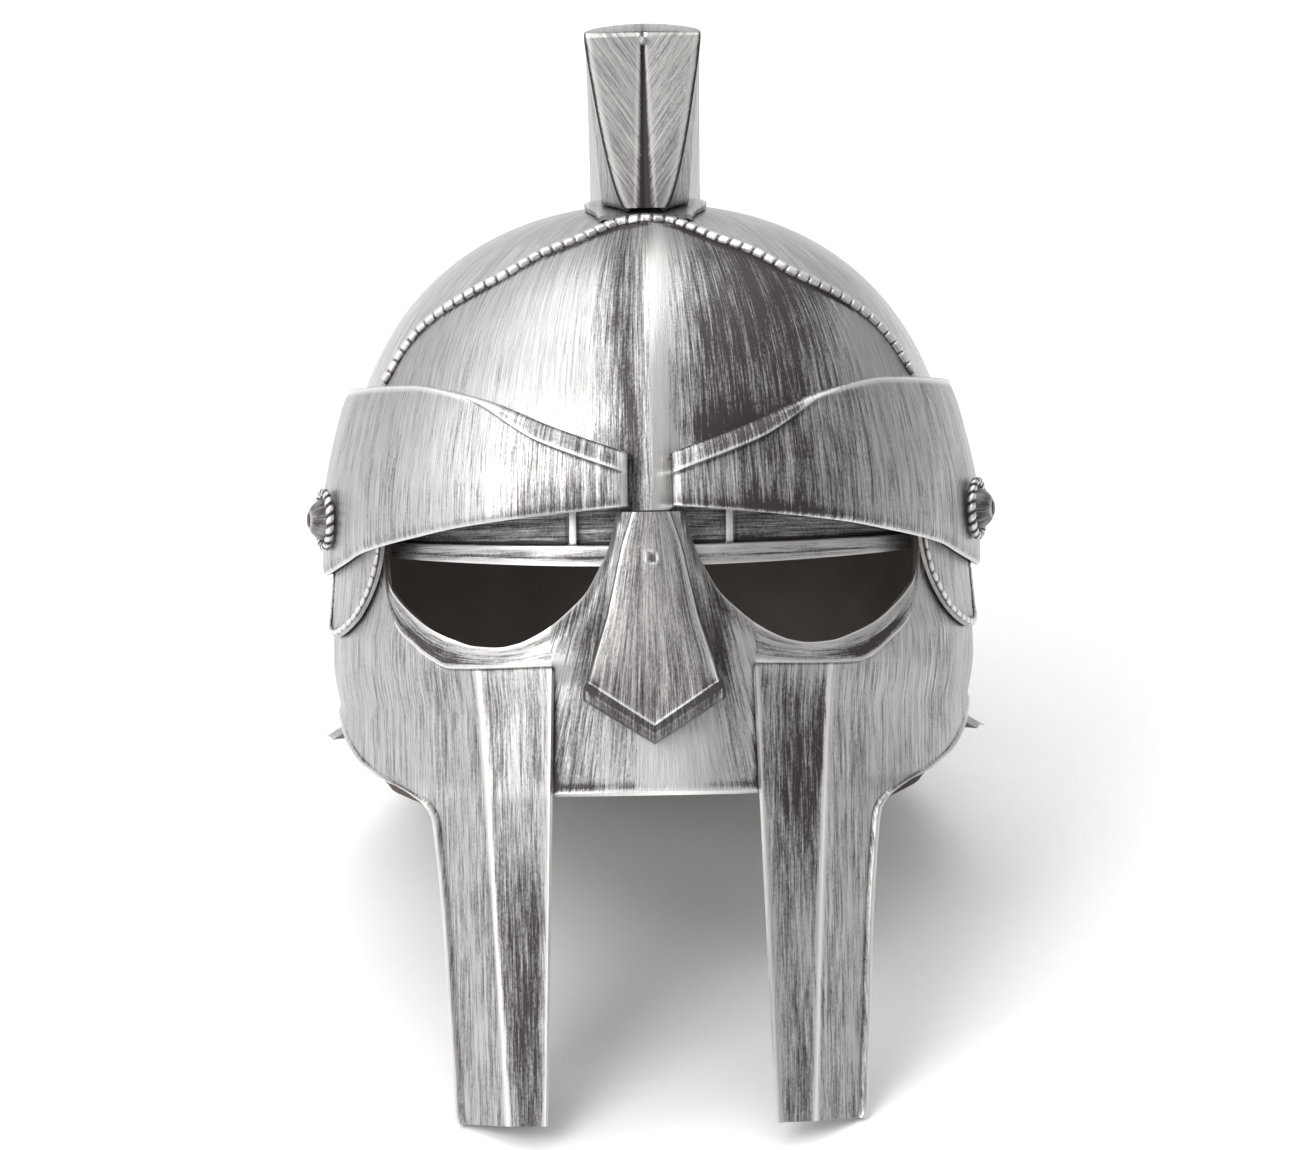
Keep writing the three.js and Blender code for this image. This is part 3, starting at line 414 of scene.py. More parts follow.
def piece(name, points, faces, attributes, materials, inside_span, node_names, sharp=32):
    """Mesh object in the rest pose, riding on the root body in place of its nodes."""
    mesh = bpy.data.meshes.new(name)
    matrix = np.array(TO_REST)
    placed = (points * MM) @ matrix[:3, :3].T + matrix[:3, 3]
    mesh.from_pydata(placed.tolist(), [], faces)
    for key, values in attributes.items():
        layer = mesh.attributes.new(key, "FLOAT_VECTOR", "POINT")
        layer.data.foreach_set("vector", values.astype(np.float32).ravel())
    for material in materials:
        mesh.materials.append(material)
    index = [1 if inside_span[0] <= i < inside_span[1] else 0 for i in range(len(faces))]
    mesh.polygons.foreach_set("material_index", index)
    mesh.polygons.foreach_set("use_smooth", [True] * len(faces))
    mesh.update()
    mesh.set_sharp_from_angle(angle=math.radians(sharp))
    obj = bpy.data.objects.new(name, mesh)
    bpy.context.collection.objects.link(obj)
    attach(obj, "root")
    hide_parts(*node_names)


def mirrored(grid):
    return (grid * np.array((-1, 1, 1)))[:, ::-1]


def shell(name, grid, wall, brush, tone, node_names, side=1, keep=None,
          level_below=None, paint=None, sharp=32):
    """Wall piece from a grid of outer points, mirrored where side is below 0. brush holds the
    stroke coordinates, and tone the bright edges, dark creases and thin paint of each point,
    with the painted highlights and painted shade that some pieces add to them."""
    brush, tone = (np.broadcast_to(values, grid.shape) for values in (brush, tone))
    if side < 0:
        grid, brush, tone = mirrored(grid), brush[:, ::-1], tone[:, ::-1]
    points, faces, first = weld(grid.reshape(-1, 3), grid_faces(*grid.shape[:2], keep))
    used = np.unique(faces)
    rank = np.full(len(points), -1)
    rank[used] = np.arange(len(used))
    points, faces, first = points[used], rank[faces], first[used]
    inner, rim = closed_wall(points, faces, wall, level_below)
    outer_faces = polygons(faces)
    inner_faces = [[v + len(points) for v in reversed(face)] for face in outer_faces]
    both = [np.concatenate([values.reshape(-1, 3)[first]] * 2) for values in (brush, tone)]
    points = np.concatenate([points, inner])
    attributes = {"brush": both[0], "tone": both[1], "worn": points}
    inside_span = (len(outer_faces), len(outer_faces) + len(inner_faces))
    piece(name, points, outer_faces + inner_faces + polygons(rim), attributes,
          [paint or SILVER, INSIDE], inside_span, node_names, sharp)


def tone_of(edge=0.0, crease=0.0, thin=0.0):
    """Bright edges, dark creases and thin paint, which the silver finish reads at each point; some pieces
    add painted highlights and painted shade to them.
    """
    return stack(edge, crease, thin)


# Materials
def new_material(name):
    material = bpy.data.materials.new(name)
    material.use_nodes = True
    material.node_tree.nodes.clear()
    return material, material.node_tree


# Places of a colour mix's sockets
MIX_FIRST = 6
MIX_SECOND = 7
MIX_COLOR = 2


class Nodes:
    """Short calls for the nodes that the finishes are made of."""

    def __init__(self, tree):
        self.tree = tree

    def add(self, kind, **values):
        node = self.tree.nodes.new(kind)
        for key, value in values.items():
            setattr(node, key, value)
        return node

    def link(self, source, target):
        self.tree.links.new(source, target)

    def put(self, socket, value):
        if isinstance(value, (int, float, tuple)):
            socket.default_value = value
        else:
            self.link(value, socket)

    def attribute(self, name):
        return self.add("ShaderNodeAttribute", attribute_name=name).outputs["Vector"]

    def total(self, base, *parts):
        """Base plus each part's value times its weight."""
        for value, weight in parts:
            base = self.math("ADD", base, self.math("MULTIPLY", value, weight))
        return base

    def split(self, vector):
        node = self.add("ShaderNodeSeparateXYZ")
        self.link(vector, node.inputs[0])
        return node.outputs

    def math(self, operation, a, b=0.0, clamp=False):
        node = self.add("ShaderNodeMath", operation=operation, use_clamp=clamp)
        self.put(node.inputs[0], a)
        self.put(node.inputs[1], b)
        return node.outputs[0]

    def scaled(self, vector, scale):
        node = self.add("ShaderNodeVectorMath", operation="MULTIPLY")
        self.link(vector, node.inputs[0])
        node.inputs[1].default_value = scale
        return node.outputs[0]

    def noise(self, vector, scale=1.0, detail=3.0, roughness=0.55, distortion=0.0):
        node = self.add("ShaderNodeTexNoise")
        self.link(vector, node.inputs["Vector"])
        node.inputs["Scale"].default_value = scale
        node.inputs["Detail"].default_value = detail
        node.inputs["Roughness"].default_value = roughness
        node.inputs["Distortion"].default_value = distortion
        return node.outputs["Fac"]

    def span(self, value, low, high, to_low=0.0, to_high=1.0):
        node = self.add("ShaderNodeMapRange", clamp=True)
        self.put(node.inputs["Value"], value)
        limits = (("From Min", low), ("From Max", high), ("To Min", to_low), ("To Max", to_high))
        for key, number in limits:
            node.inputs[key].default_value = number
        return node.outputs["Result"]

    def mix(self, share, a, b):
        node = self.add("ShaderNodeMix", data_type="RGBA")
        self.put(node.inputs[0], share)
        self.put(node.inputs[MIX_FIRST], a)
        self.put(node.inputs[MIX_SECOND], b)
        return node.outputs[MIX_COLOR]

    def surface(self, color, metallic, roughness, height, bump_distance):
        shader = self.add("ShaderNodeBsdfPrincipled")
        self.put(shader.inputs["Base Color"], color)
        self.put(shader.inputs["Metallic"], metallic)
        self.put(shader.inputs["Roughness"], roughness)
        relief = self.add("ShaderNodeBump")
        relief.inputs["Distance"].default_value = bump_distance * MM
        relief.inputs["Strength"].default_value = 1.0
        self.link(height, relief.inputs["Height"])
        self.link(relief.outputs[0], shader.inputs["Normal"])
        output = self.add("ShaderNodeOutputMaterial")
        self.link(shader.outputs[0], output.inputs[0])


# Colours under the silver paint, and of rubbed-bright edges and painted highlights
BARE_PLASTIC = (0.024, 0.018, 0.0165, 1.0)
WORN_EDGE_AND_HIGHLIGHT = (0.86, 0.85, 0.83, 1.0)


def silver_finish(name, cover, silver, width=1.0, strength=1.0):
    """Silver paint dragged over black with a dry brush: fine streaks along the strokes, bright
    edges, black left in the creases and where the paint is thin, with painted highlights and
    painted shade carried in the same tones."""
    material, tree = new_material(name)
    n = Nodes(tree)
    brush = n.attribute("brush")
    edge, crease, thin = n.split(n.attribute("tone"))
    place = n.attribute("worn")
    hair = n.noise(n.scaled(brush, (2.3 / width, 0.085, 1.0)), detail=4, roughness=0.7, distortion=0.2)
    streak = n.noise(n.scaled(brush, (0.95 / width, 0.035, 1.7)), detail=4, roughness=0.68)
    swath = n.noise(n.scaled(brush, (0.2 / width, 0.016, 2.3)), detail=2)
    patch = n.noise(n.scaled(place, (0.045, 0.045, 0.045)), detail=2)
    speck = n.noise(n.scaled(place, (1.3, 1.3, 0.9)), detail=3, roughness=0.65)
    loose = n.noise(n.scaled(place, (0.33, 0.33, 0.33)), detail=1, distortion=1.6)
    scratch = n.span(n.math("ABSOLUTE", n.math("SUBTRACT", loose, 0.5)), 0.0, 0.011, 1.0, 0.0)
    scratch = n.math("MULTIPLY", scratch, n.span(patch, 0.42, 0.62))
    amount = cover
    for noise, weight in ((hair, 1.5), (streak, 1.25), (swath, 0.8), (patch, 0.5), (speck, 0.7)):
        amount = n.total(amount, (n.math("SUBTRACT", noise, 0.5), weight * strength))
    amount = n.total(amount, (scratch, -0.32), (thin, -0.78), (crease, -1.2), (edge, 0.9))
    covered = n.span(amount, 0.05, 0.82)
    deep = tuple(0.58 * v for v in silver[:3]) + (1.0,)
    tinted = n.mix(n.span(n.total(0.0, (hair, 0.8), (streak, 0.7)), 0.6, 0.94), deep, silver)
    bright = n.mix(n.math("MULTIPLY", edge, 0.85, clamp=True), tinted, WORN_EDGE_AND_HIGHLIGHT)
    color = n.mix(covered, BARE_PLASTIC, bright)
    metallic = n.span(covered, 0, 1, 0.2, 0.95)
    rough = n.total(n.span(covered, 0, 1, 0.42, 0.36), (n.math("SUBTRACT", hair, 0.5), 0.3))
    height = n.total(0.0, (hair, 0.8), (covered, 0.4), (speck, 0.35))
    n.surface(color, metallic, rough, height, 0.12)
    return material


def inside_finish():
    """Bare dark plastic inside, with a moulded grain and cloudy patches of colour."""
    material, tree = new_material("inside_plastic")
    n = Nodes(tree)
    place = n.attribute("worn")
    grain = n.noise(n.scaled(place, (1.1, 1.1, 1.1)), detail=4)
    cloud = n.noise(n.scaled(place, (0.03, 0.03, 0.03)), detail=2)
    color = n.mix(n.span(cloud, 0.3, 0.7), (0.075, 0.06, 0.053, 1.0), (0.11, 0.09, 0.08, 1.0))
    rough = n.span(grain, 0.3, 0.7, 0.5, 0.66)
    n.surface(color, 0.0, rough, grain, 0.05)
    return material


def black_finish():
    """Dull black of the studs' tips."""
    material, tree = new_material("black_tip")
    n = Nodes(tree)
    place = n.attribute("worn")
    grain = n.noise(n.scaled(place, (2.0, 2.0, 2.0)), detail=3)
    color = n.mix(n.span(grain, 0.35, 0.7), (0.012, 0.011, 0.011, 1.0), (0.035, 0.032, 0.03, 1.0))
    n.surface(color, 0.0, n.span(grain, 0.3, 0.7, 0.4, 0.55), grain, 0.04)
    return material


SILVER = silver_finish("silver_shell", 0.8, (0.54, 0.53, 0.52, 1.0), strength=1.2)
SMOOTH_SILVER = silver_finish("silver_dome", 1.0, (0.66, 0.665, 0.675, 1.0), width=1.5, strength=0.4)
CREST_SILVER = silver_finish("crest_silver", 0.84, (0.55, 0.54, 0.525, 1.0), width=0.9, strength=0.75)
DARK_SILVER = silver_finish("dark_silver", 0.66, (0.36, 0.348, 0.34, 1.0), strength=1.2)
INSIDE = inside_finish()
BLACK = black_finish()


# Pieces
def skull_dome():
    angles = np.radians(np.linspace(-180, 180, 181))
    edge = elevation_at_height(FACE_EDGE, 0)
    ups = lerp(math.pi / 2, edge, np.linspace(0, 1, 56))
    rows = [dome_point(angles, up, 0) for up in ups]
    width = DOME_HALF_WIDTH - NAPE_INSET
    x, y = plan_point(angles, width, DOME_FRONT - NAPE_INSET, DOME_BACK - NAPE_INSET)
    rows += [stack(x, y, -NAPE_DROP * share) for share in np.linspace(0.01, 1, 22)]
    grid = np.stack(rows)
    face = np.abs(angles[:-1] + angles[1:]) / 2 < math.pi / 2
    nape_rows = np.arange(len(grid) - 1)[:, None] >= len(ups) - 1
    front_column = len(angles) // 2
    brush = stack(angles * 60, run_along(grid[:, front_column])[:, None], 3.0)
    tone = tone_of(edge=bump(grid[..., 2] + NAPE_DROP, 0.8), thin=0.1)
    shell("skull_shell", grid, DOME_WALL, brush, tone, ["skull_dome"], keep=~(nape_rows & face),
          paint=SMOOTH_SILVER)


def neck_guard():
    angles = np.radians(np.linspace(NECK_START_ANGLE, 360 - NECK_START_ANGLE, 161))
    top, waist = -NAPE_DROP + NECK_LAP, -NAPE_DROP - NECK_LAP
    z = np.concatenate([np.linspace(top, waist, 12), np.linspace(waist, -NECK_DROP, 12)[1:]])[:, None]
    flare = np.clip((waist - z) / (waist + NECK_DROP), 0, 1) ** 1.8
    outside = SEAT_GAP + NECK_WALL - NAPE_INSET
    x, y = plan_point(angles, DOME_HALF_WIDTH + outside + flare * NECK_FLARE, DOME_FRONT,
                      DOME_BACK + outside + flare * NECK_BACK_FLARE)
    edge = np.maximum(bump(z + NECK_DROP, 0.7), 0.6 * bump(z - top, 0.6))
    tone = tone_of(edge, 0.4 * bump(z - waist, 1.0))
    shell("neck_guard_shell", stack(x, y, z), NECK_WALL, stack(angles * 100, z, 5.0), tone,
          ["neck_guard"], level_below=-NECK_DROP + 0.3)


def keel_rise(x):
    return KEEL_RISE * bump(x, KEEL_HALF_WIDTH)


def forehead_point(angle, elevation, outside):
    point = dome_point(angle, elevation, outside)
    point[..., 1] -= keel_rise(point[..., 0])
    return point


def forehead_columns():
    """Plan angles of the plate's columns, closer at its ends and over the keel."""
    even = np.sin(np.linspace(-0.49, 0.49, 141) * math.pi) / math.sin(0.49 * math.pi)
    keel = np.radians(np.linspace(-8, 8, 33))
    return np.sort(np.concatenate([math.radians(PLATE_HALF_ANGLE) * even, keel]))


def forehead_plate():
    angles = forehead_columns()
    level_x = dome_point(angles, 0.0, PLATE_OUTSIDE)[:, 0]
    foot_z = lerp(KEEL_FOOT, PLATE_FOOT, np.clip(np.abs(level_x) / KEEL_HALF_WIDTH - 1, 0, 1))
    foot = elevation_at_height(foot_z, PLATE_OUTSIDE)
    top = elevation_at_line(angles, PLATE_OUTSIDE, TRIM_LINE, 0)
    share = np.linspace(0, 1, 90)[:, None]
    grid = forehead_point(angles, lerp(top, foot, share), PLATE_OUTSIDE)
    x, z = grid[..., 0], grid[..., 2]
    below_trim = height_of(TRIM_LINE, x) - TRIM_WIDTH - z
    # A painted highlight runs down the right side of the keel, carried in the edge tone.
    edge = 0.9 * bump(x - 3.5, 2.8)
    crease = 0.9 * bump(below_trim, 0.8) + 0.2 * bump(z - PLATE_FOOT - 22, 4) * bump(x - 25, 20)
    # Painted shade lies beside the keel on its left, and the right half has thin paint under a painted
    # dark reflection; the paint is full on the left and at the ends
    dark_side = smooth(x, 6, 16) * (1 - smooth(x, 46, 70)) * (1 - 0.45 * bump(x - 12, 5))
    thin = 0.95 * dark_side + 0.85 * bump(x + 7, 6) - 0.5 * bump(x + 36, 20)
    thin -= 0.42 * smooth(np.abs(x), 54, 70)
    shell("forehead_shell", grid, PLATE_WALL, stack(angles * 96 + 0.12 * x, z, 7.0),
          tone_of(edge, crease, thin), ["forehead_plate"])


def stitch_profile(along, pitch, gap_share=0.17):
    """Height of moulded lacing along its cord: rounded blocks with narrow gaps, from 0 to 1."""
    phase = np.abs((along / pitch) % 1.0 - 0.5) * 2
    return 1 - smooth(phase, 1 - 2 * gap_share, 1.0)


def laced_cord(name, line, outward, across, width, rise, node_names, seed):
    """Raised cord of stitched blocks on a line of points, with its outward and across directions."""
    along = run_along(line)
    block = stitch_profile(along, STITCH_PITCH)
    turn = np.linspace(-1, 1, 9)[:, None]
    round_off = np.abs(turn)
    height = rise * np.sqrt(np.clip(1 - round_off ** 3.2, 0, 1)) * (0.42 + 0.58 * block)
    half = 0.5 * width * (0.86 + 0.14 * block)
    grid = line + outward * height[..., None] + across * (turn * half)[..., None]
    tone = tone_of(0.85 * block * (1 - round_off ** 3), 0.55 * (1 - block) + 0.5 * round_off ** 8)
    shell(name, grid, CORD_WALL, stack(turn * width, along, seed), tone, node_names, sharp=50)


def forehead_trim():
    outside = PLATE_OUTSIDE + 0.1
    widest = math.radians(PLATE_HALF_ANGLE)
    fine = np.linspace(-widest, widest, 4001)
    up = elevation_at_line(fine, outside, TRIM_LINE, TRIM_WIDTH / 2)
    line = forehead_point(fine, up, outside)
    line = line[line[:, 2] > height_of(BAND_TOP_LINE, line[:, 0]) + TRIM_WIDTH / 2]
    length = run_along(line)
    places = np.linspace(0, length[-1], int(length[-1] / 0.3))
    line = np.stack([np.interp(places, length, line[:, k]) for k in range(3)], axis=-1)
    outward = unit(line)
    across = unit(np.cross(unit(np.gradient(line, axis=0)), outward))
    laced_cord("forehead_lacing", line, outward, across, TRIM_WIDTH + 0.4, TRIM_RISE + 0.3,
               ["forehead_trim"], 11.0)


def band_front(half_width):
    return DOME_FRONT + PLATE_OUTSIDE + BAND_FLARE + half_width - BAND_FLARE_SHARE * DOME_HALF_WIDTH


def band_point(angle, z, rise):
    """Point that stands off the brow band's round form by a rise."""
    half_width = half_width_at(BAND_WIDTHS, z)
    x, y = plan_point(angle, half_width, band_front(half_width), DOME_BACK)
    return stack(x + rise * np.sin(angle), y - rise * np.cos(angle), z)


def seat_point(angle, z):
    """Point just off the forehead plate, where the band's edges turn in."""
    outside = PLATE_OUTSIDE + 2 * SEAT_GAP
    point = dome_point(angle, elevation_at_height(np.maximum(0, z), outside), outside)
    point[..., 2] = z
    return point


def band_columns():
    """Plan angles of the band's columns, closer at the gap and round its rear end."""
    start = float(plan_angle(BAND_GAP_HALF, DOME_HALF_WIDTH))
    front = lerp(start, math.radians(BAND_ROUND_ANGLE), np.linspace(0, 1, 150)[:-1])
    near = start + np.radians((0.15, 0.35, 0.6))
    rear = lerp(BAND_ROUND_ANGLE, BAND_REAR_ANGLE, np.sin(np.linspace(0, 1, 22) * math.pi / 2))
    return np.sort(np.concatenate([front, near, np.radians(rear)]))


def band_lines(angles):
    """Top, height of the brow and foot at each column, drawn together at the rear end."""
    x = plan_point(np.minimum(angles, math.pi / 2), half_width_at(BAND_WIDTHS, 0), DOME_FRONT)[0]
    past = (np.degrees(angles) - BAND_ROUND_ANGLE) / (BAND_REAR_ANGLE - BAND_ROUND_ANGLE)
    full = np.sqrt(1 - BAND_END_TAPER * np.clip(past, 0, 1) ** 2)
    return (full * height_of(BAND_TOP_LINE, x), height_of(BROW_WIDTH_LINE, x),
            full * height_of(BAND_FOOT_LINE, x))


def band_rows(top, brow, foot, rise):
    """Rows of the band from its top to its foot: height, relief and a key for the tones."""
    under = top - brow
    reach = np.minimum(1, 0.3 + rise)
    rows = [(top, 0.1 * rise - 0.9, 0.0)]
    for share in (0.12, 0.3, 0.55, 0.8, 0.93, 1.0):
        rounded = np.sin(share * math.pi / 2) ** 0.8
        rows.append((top - brow * share, rise * rounded - 0.2 * (1 - share), share))
    for drop, left in ((0.25, 0.7), (0.55, 0.25), (0.9, 0.05), (1.4, 0.0)):
        rows.append((under - drop * reach, rise * left, 1.0 + drop))
    for share in np.linspace(0, 1, 44)[1:]:
        foot_round = -0.9 * smooth(share, 0.955, 1.0) ** 2
        rows.append((lerp(under - 1.4 * reach, foot, share), foot_round, 3.0 + share))
    return rows


def band_tone(side, z, arc, key, top, under, foot, has_brow):
    """Bright rims, dark creases by the brow, paint worn thin toward the middle, painted shade over the
    right band and a painted highlight on the left band.
    """
    up = z - foot
    edge = 0.7 * bump(up, 0.7) + 0.8 * bump(z - top + 0.9, 0.7) * (1 - 0.6 * has_brow)
    edge += 0.45 * bump(z - under - 0.3, 0.7) * has_brow + 0.5 * bump(arc - 1, 1)
    crease = 0.3 * bump(z - under + 1, 0.45) * has_brow + 1.2 * smooth(-key, 0.2, 1)
    crease += 0.55 * bump(z - top, 0.55) * has_brow
    crease += 0.25 * smooth(-up, -5, -1) * (1 - bump(up, 0.8))
    thin = 0.35 * bump(arc - 20, 16) * smooth(-up, -14, -3) + 0.3 * has_brow * (z > under + 0.6)
    # Painted shade darkens the right band, and a painted highlight lightens most of the left band.
    if side > 0:
        thin += 0.7 * bump(arc - 32, 30)
    else:
        thin += 0.12 * bump(arc - 32, 30) - 0.35 * bump(arc - 45, 18)
    return tone_of(np.clip(edge, 0, 1), np.clip(crease, 0, 1.3), thin)


def brow_band(side, side_name):
    angles = band_columns()
    top, brow, foot = band_lines(angles)
    rise = BROW_RISE * np.minimum(1, brow / (0.05 * DOME_HEIGHT))
    arc = (angles - angles[0]) * BRUSH_REACH
    pinch = 1.6 * np.exp(-arc / 1.1)
    rows = band_rows(top, brow, foot, rise)
    grid = [seat_point(angles, top - 0.2)] + [band_point(angles, z, out - pinch) for z, out, _ in rows]
    grid = np.stack(grid)
    key = np.array([-1.0] + [row[2] for row in rows])[:, None]
    # One more column turns the end at the gap in to the seat
    end = np.stack([seat_point(angles[0], z) for z in grid[:, 0, 2]])[:, None]
    grid = np.concatenate([end, grid], axis=1)
    lines = [np.r_[line[0], line] for line in (top, top - brow, foot, rise / BROW_RISE)]
    arc = np.r_[-3.0, arc]
    z = grid[..., 2]
    shell(f"brow_band_shell_{side_name}", grid, BAND_WALL, stack(arc, z, 13.0 + side),
          band_tone(side, z, arc, key, *lines), [f"brow_band_{side_name}"], side=side)


def mask_front(z):
    share = np.maximum(0, (-z - LIP_DROP) / (BAR_LENGTH - LIP_DROP))
    return MASK_FRONT - BAR_SET_BACK * share


def mask_point(angle, z, rise):
    """Point that stands forward of the round mask by a rise."""
    x, y = plan_point(angle, half_width_at(MASK_WIDTHS, z), mask_front(z))
    return stack(x, y - rise, z)


def bar_share(z):
    return np.maximum(0, (-z - BAR_START) / (BAR_LENGTH - BAR_START))


def bar_inner(z):
    return lerp(BAR_INNER_TOP, BAR_INNER_END, bar_share(z))


def bar_ridge(z):
    return lerp(RIDGE_TOP, RIDGE_END, np.sqrt(bar_share(z)) * 0.5 + bar_share(z) * 0.5)


def cheek_edge_angle(z):
    """Plan angle of the cheek's and bar's outer edge at a height."""
    rear = math.radians(MASK_REAR_ANGLE)
    out = DOME_HALF_WIDTH * read_line(CHEEK_OUTLINE, -z / BAR_LENGTH)
    traced = plan_angle(out, half_width_at(MASK_WIDTHS, z))
    blend = smooth(-z / BAR_LENGTH, CHEEK_OUTLINE[0][0] - 0.02, CHEEK_OUTLINE[0][0] + 0.006)
    return lerp(rear, np.minimum(rear, traced), blend)


def facet_rise(x, z, outer_x):
    """How far the bar's two flat facets stand off the round mask."""
    half_width, front = half_width_at(MASK_WIDTHS, z), mask_front(z)

    def round_y(place):
        return plan_point(plan_angle(place, half_width), half_width, front)[1]

    inner, ridge = bar_inner(z), bar_ridge(z)
    merge = np.minimum(FACET_REACH * DOME_HALF_WIDTH, outer_x)
    ridge_y = round_y(ridge) - RIDGE_RISE
    inside = lerp(round_y(inner) - BAR_EDGE_RISE, ridge_y, (x - inner) / (ridge - inner))
    beyond = lerp(ridge_y, round_y(merge), (x - ridge) / (merge - ridge))
    rise = round_y(x) - np.where(x < ridge, inside, beyond)
    return np.where(x >= merge, 0, rise)


def cheek_places():
    """Columns of a cheek: below 0 on the bar's inner facet, above 0 from the ridge to the rear."""
    top_width = half_width_at(MASK_WIDTHS, 0)
    rear = math.radians(MASK_REAR_ANGLE)
    ridge_angle = plan_angle(RIDGE_TOP, top_width)
    even_x = even_on_eye(RIDGE_TOP, 0.87 * DOME_HALF_WIDTH, 400, 40)[1:]
    eye_shares = (plan_angle(even_x, top_width) - ridge_angle) / (rear - ridge_angle)
    far_shares = np.linspace(eye_shares[-1], 1, 18)[1:]
    shares = np.concatenate([[0.0, 0.004, 0.012], eye_shares, far_shares])
    return np.concatenate([-INNER_PLACES, np.unique(np.round(shares, 5))])


def place_angle(place, z):
    half_width = half_width_at(MASK_WIDTHS, z)
    ridge = bar_ridge(z)
    start = plan_angle(ridge, half_width)
    full = np.maximum(cheek_edge_angle(z) - start, 0.02)
    inside = plan_angle(lerp(ridge, bar_inner(z), -place), half_width)
    return np.where(place < 0, inside, start + full * np.clip(place, 0, 1))


def cheek_rows(places, is_eye, top, bevel):
    """Rows of a cheek from its top to the bar's end: height, sunk bevel, share of the facets'
    relief, and a key for the tones that runs from -1 to 0 over the bevel."""
    rows = []
    for share in np.linspace(0, 1, 12):
        sunk = is_eye * (0.35 * bump(share, 0.09) - EYE_BEVEL_DEPTH * (1 - share) ** 1.6)
        rows.append((lerp(top, bevel, share), sunk, 0.0, share - 1))
    for drop, weight in ((0.25, 0.25), (0.5, 0.75), (0.8, 1.0), (BEVEL_STEP, 1.0)):
        rows.append((bevel - drop, 0.0, weight, drop))
    level = -0.31 * BAR_LENGTH
    heights = [lerp(bevel - BEVEL_STEP, level, share) for share in np.linspace(0, 1, 34)[1:]]
    heights += list(np.arange(level - 1.2, -100, -1.1)) + list(np.arange(-101.5, -BAR_LENGTH + 1.4, -2.2))
    heights += [-BAR_LENGTH + 1.0, -BAR_LENGTH + 0.4, -BAR_LENGTH]
    rows += [(z, 0.0, 1.0, BELOW_BEVEL) for z in heights]
    return (np.stack([row[k] + 0 * places for row in rows]) for k in range(4))


def cheek_tone(side, places, angle, x, z, key, is_eye):
    """Bright ridge, rims and eye edge, dark creases, a painted dark reflection in the hollow of the eye's
    bevel, and facets worn down to the plastic.
    """
    rim_gap = np.maximum(0, cheek_edge_angle(z) - angle) * BRUSH_REACH
    inner_gap = x - bar_inner(z)
    below = z < -BAR_START - 0.5
    bright = bump(x - bar_ridge(z), 0.85) * below + 0.8 * bump(rim_gap, 1.0)
    bright += 0.9 * bump(inner_gap, 0.7) * below + 0.9 * bump(key + 1, 0.08)
    bright += 0.7 * bump(key, 0.1) * (places < 0.3)
    dark = 0.55 * bump(rim_gap - 2.4, 0.4) + 0.6 * bump(key - 0.5, 0.3) * (places < 0.02)
    # Painted dark reflection in the hollow of the eye's bevel, strongest toward its outer corner.
    dark += (0.12 + 0.6 * bump(x - 68, 13)) * bump(key + 0.3, 0.26) * is_eye * (key <= 0)
    level, stretch = (0.38, bump(-z - 82, 26)) if side > 0 else (0.12, smooth(-z, 84, 128))
    facet = smooth(-z, BAR_START, BAR_START + 6) * (places < 0)
    thin = facet * (level + 0.6 * stretch - 0.4 * bump(inner_gap, 3))
    thin += 0.18 * (places > 0) * bump(places - 0.12, 0.12) * below
    # Painted shade also darkens the outer part of the eye's bevel.
    thin += 0.1 * (key > -0.9) * (key < 0) * smooth(x, 52, 60)
    return tone_of(np.clip(bright, 0, 1), dark, thin)


def cheek_guard(side, side_name):
    """Cheek with its long bar: rolled outer rim, bevel under the eye, two facets and a ridge."""
    places = cheek_places()
    top_angle = place_angle(places, 0 * places)
    top_x = plan_point(top_angle, half_width_at(MASK_WIDTHS, 0), MASK_FRONT)[0]
    top_x = np.where(top_angle > math.pi / 2, 2 * DOME_HALF_WIDTH, top_x)
    top = np.minimum(MASK_TOP, height_of(EYE_LINE, top_x))
    bevel = np.minimum(top - 1, height_of(BEVEL_LINE, top_x))
    is_eye = 1 - smooth(top, MASK_TOP - 14, MASK_TOP - 1)
    z, sunk, weight, key = cheek_rows(places, is_eye, top, bevel)
    angle = place_angle(places, z)
    x = mask_point(angle, z, 0)[..., 0]
    edge_x = mask_point(np.minimum(cheek_edge_angle(z), math.pi / 2), z, 0)[..., 0]
    settled = np.where(places <= 0, 1, smooth(-z, BAR_START, 0.42 * BAR_LENGTH))
    rounded = RIDGE_RISE * np.maximum(0, 1 - places * 4) ** 2
    relief = sunk + weight * lerp(rounded, facet_rise(x, z, edge_x), settled)
    grid = rolled_rim(mask_point(angle, z, relief))
    stroke = BRUSH_REACH * angle
    on_bevel = (key < 0)[..., None]
    brush = np.where(on_bevel, stack(7.0 * key, stroke, 19.0 + side), stack(stroke, z, 17.0 + side))
    shell(f"cheek_shell_{side_name}", grid, MASK_WALL, brush,
          cheek_tone(side, places, angle, x, z, key, is_eye), [f"cheek_guard_{side_name}"],
          side=side, level_below=-BAR_LENGTH + 0.2)


def rolled_rim(grid):
    """A cheek's points with the outer edge rolled up into a narrow raised rim."""
    step = np.linalg.norm(np.diff(grid, axis=1), axis=2)
    gap = np.concatenate([np.cumsum(step[:, ::-1], axis=1)[:, ::-1], np.zeros((len(grid), 1))], axis=1)
    rise = 0.9 * (1 - smooth(gap, 1.5, 2.2)) - 0.25 * bump(gap - 2.5, 0.6)
    return grid + unit(np.cross(np.gradient(grid, axis=0), np.gradient(grid, axis=1))) * rise[..., None]


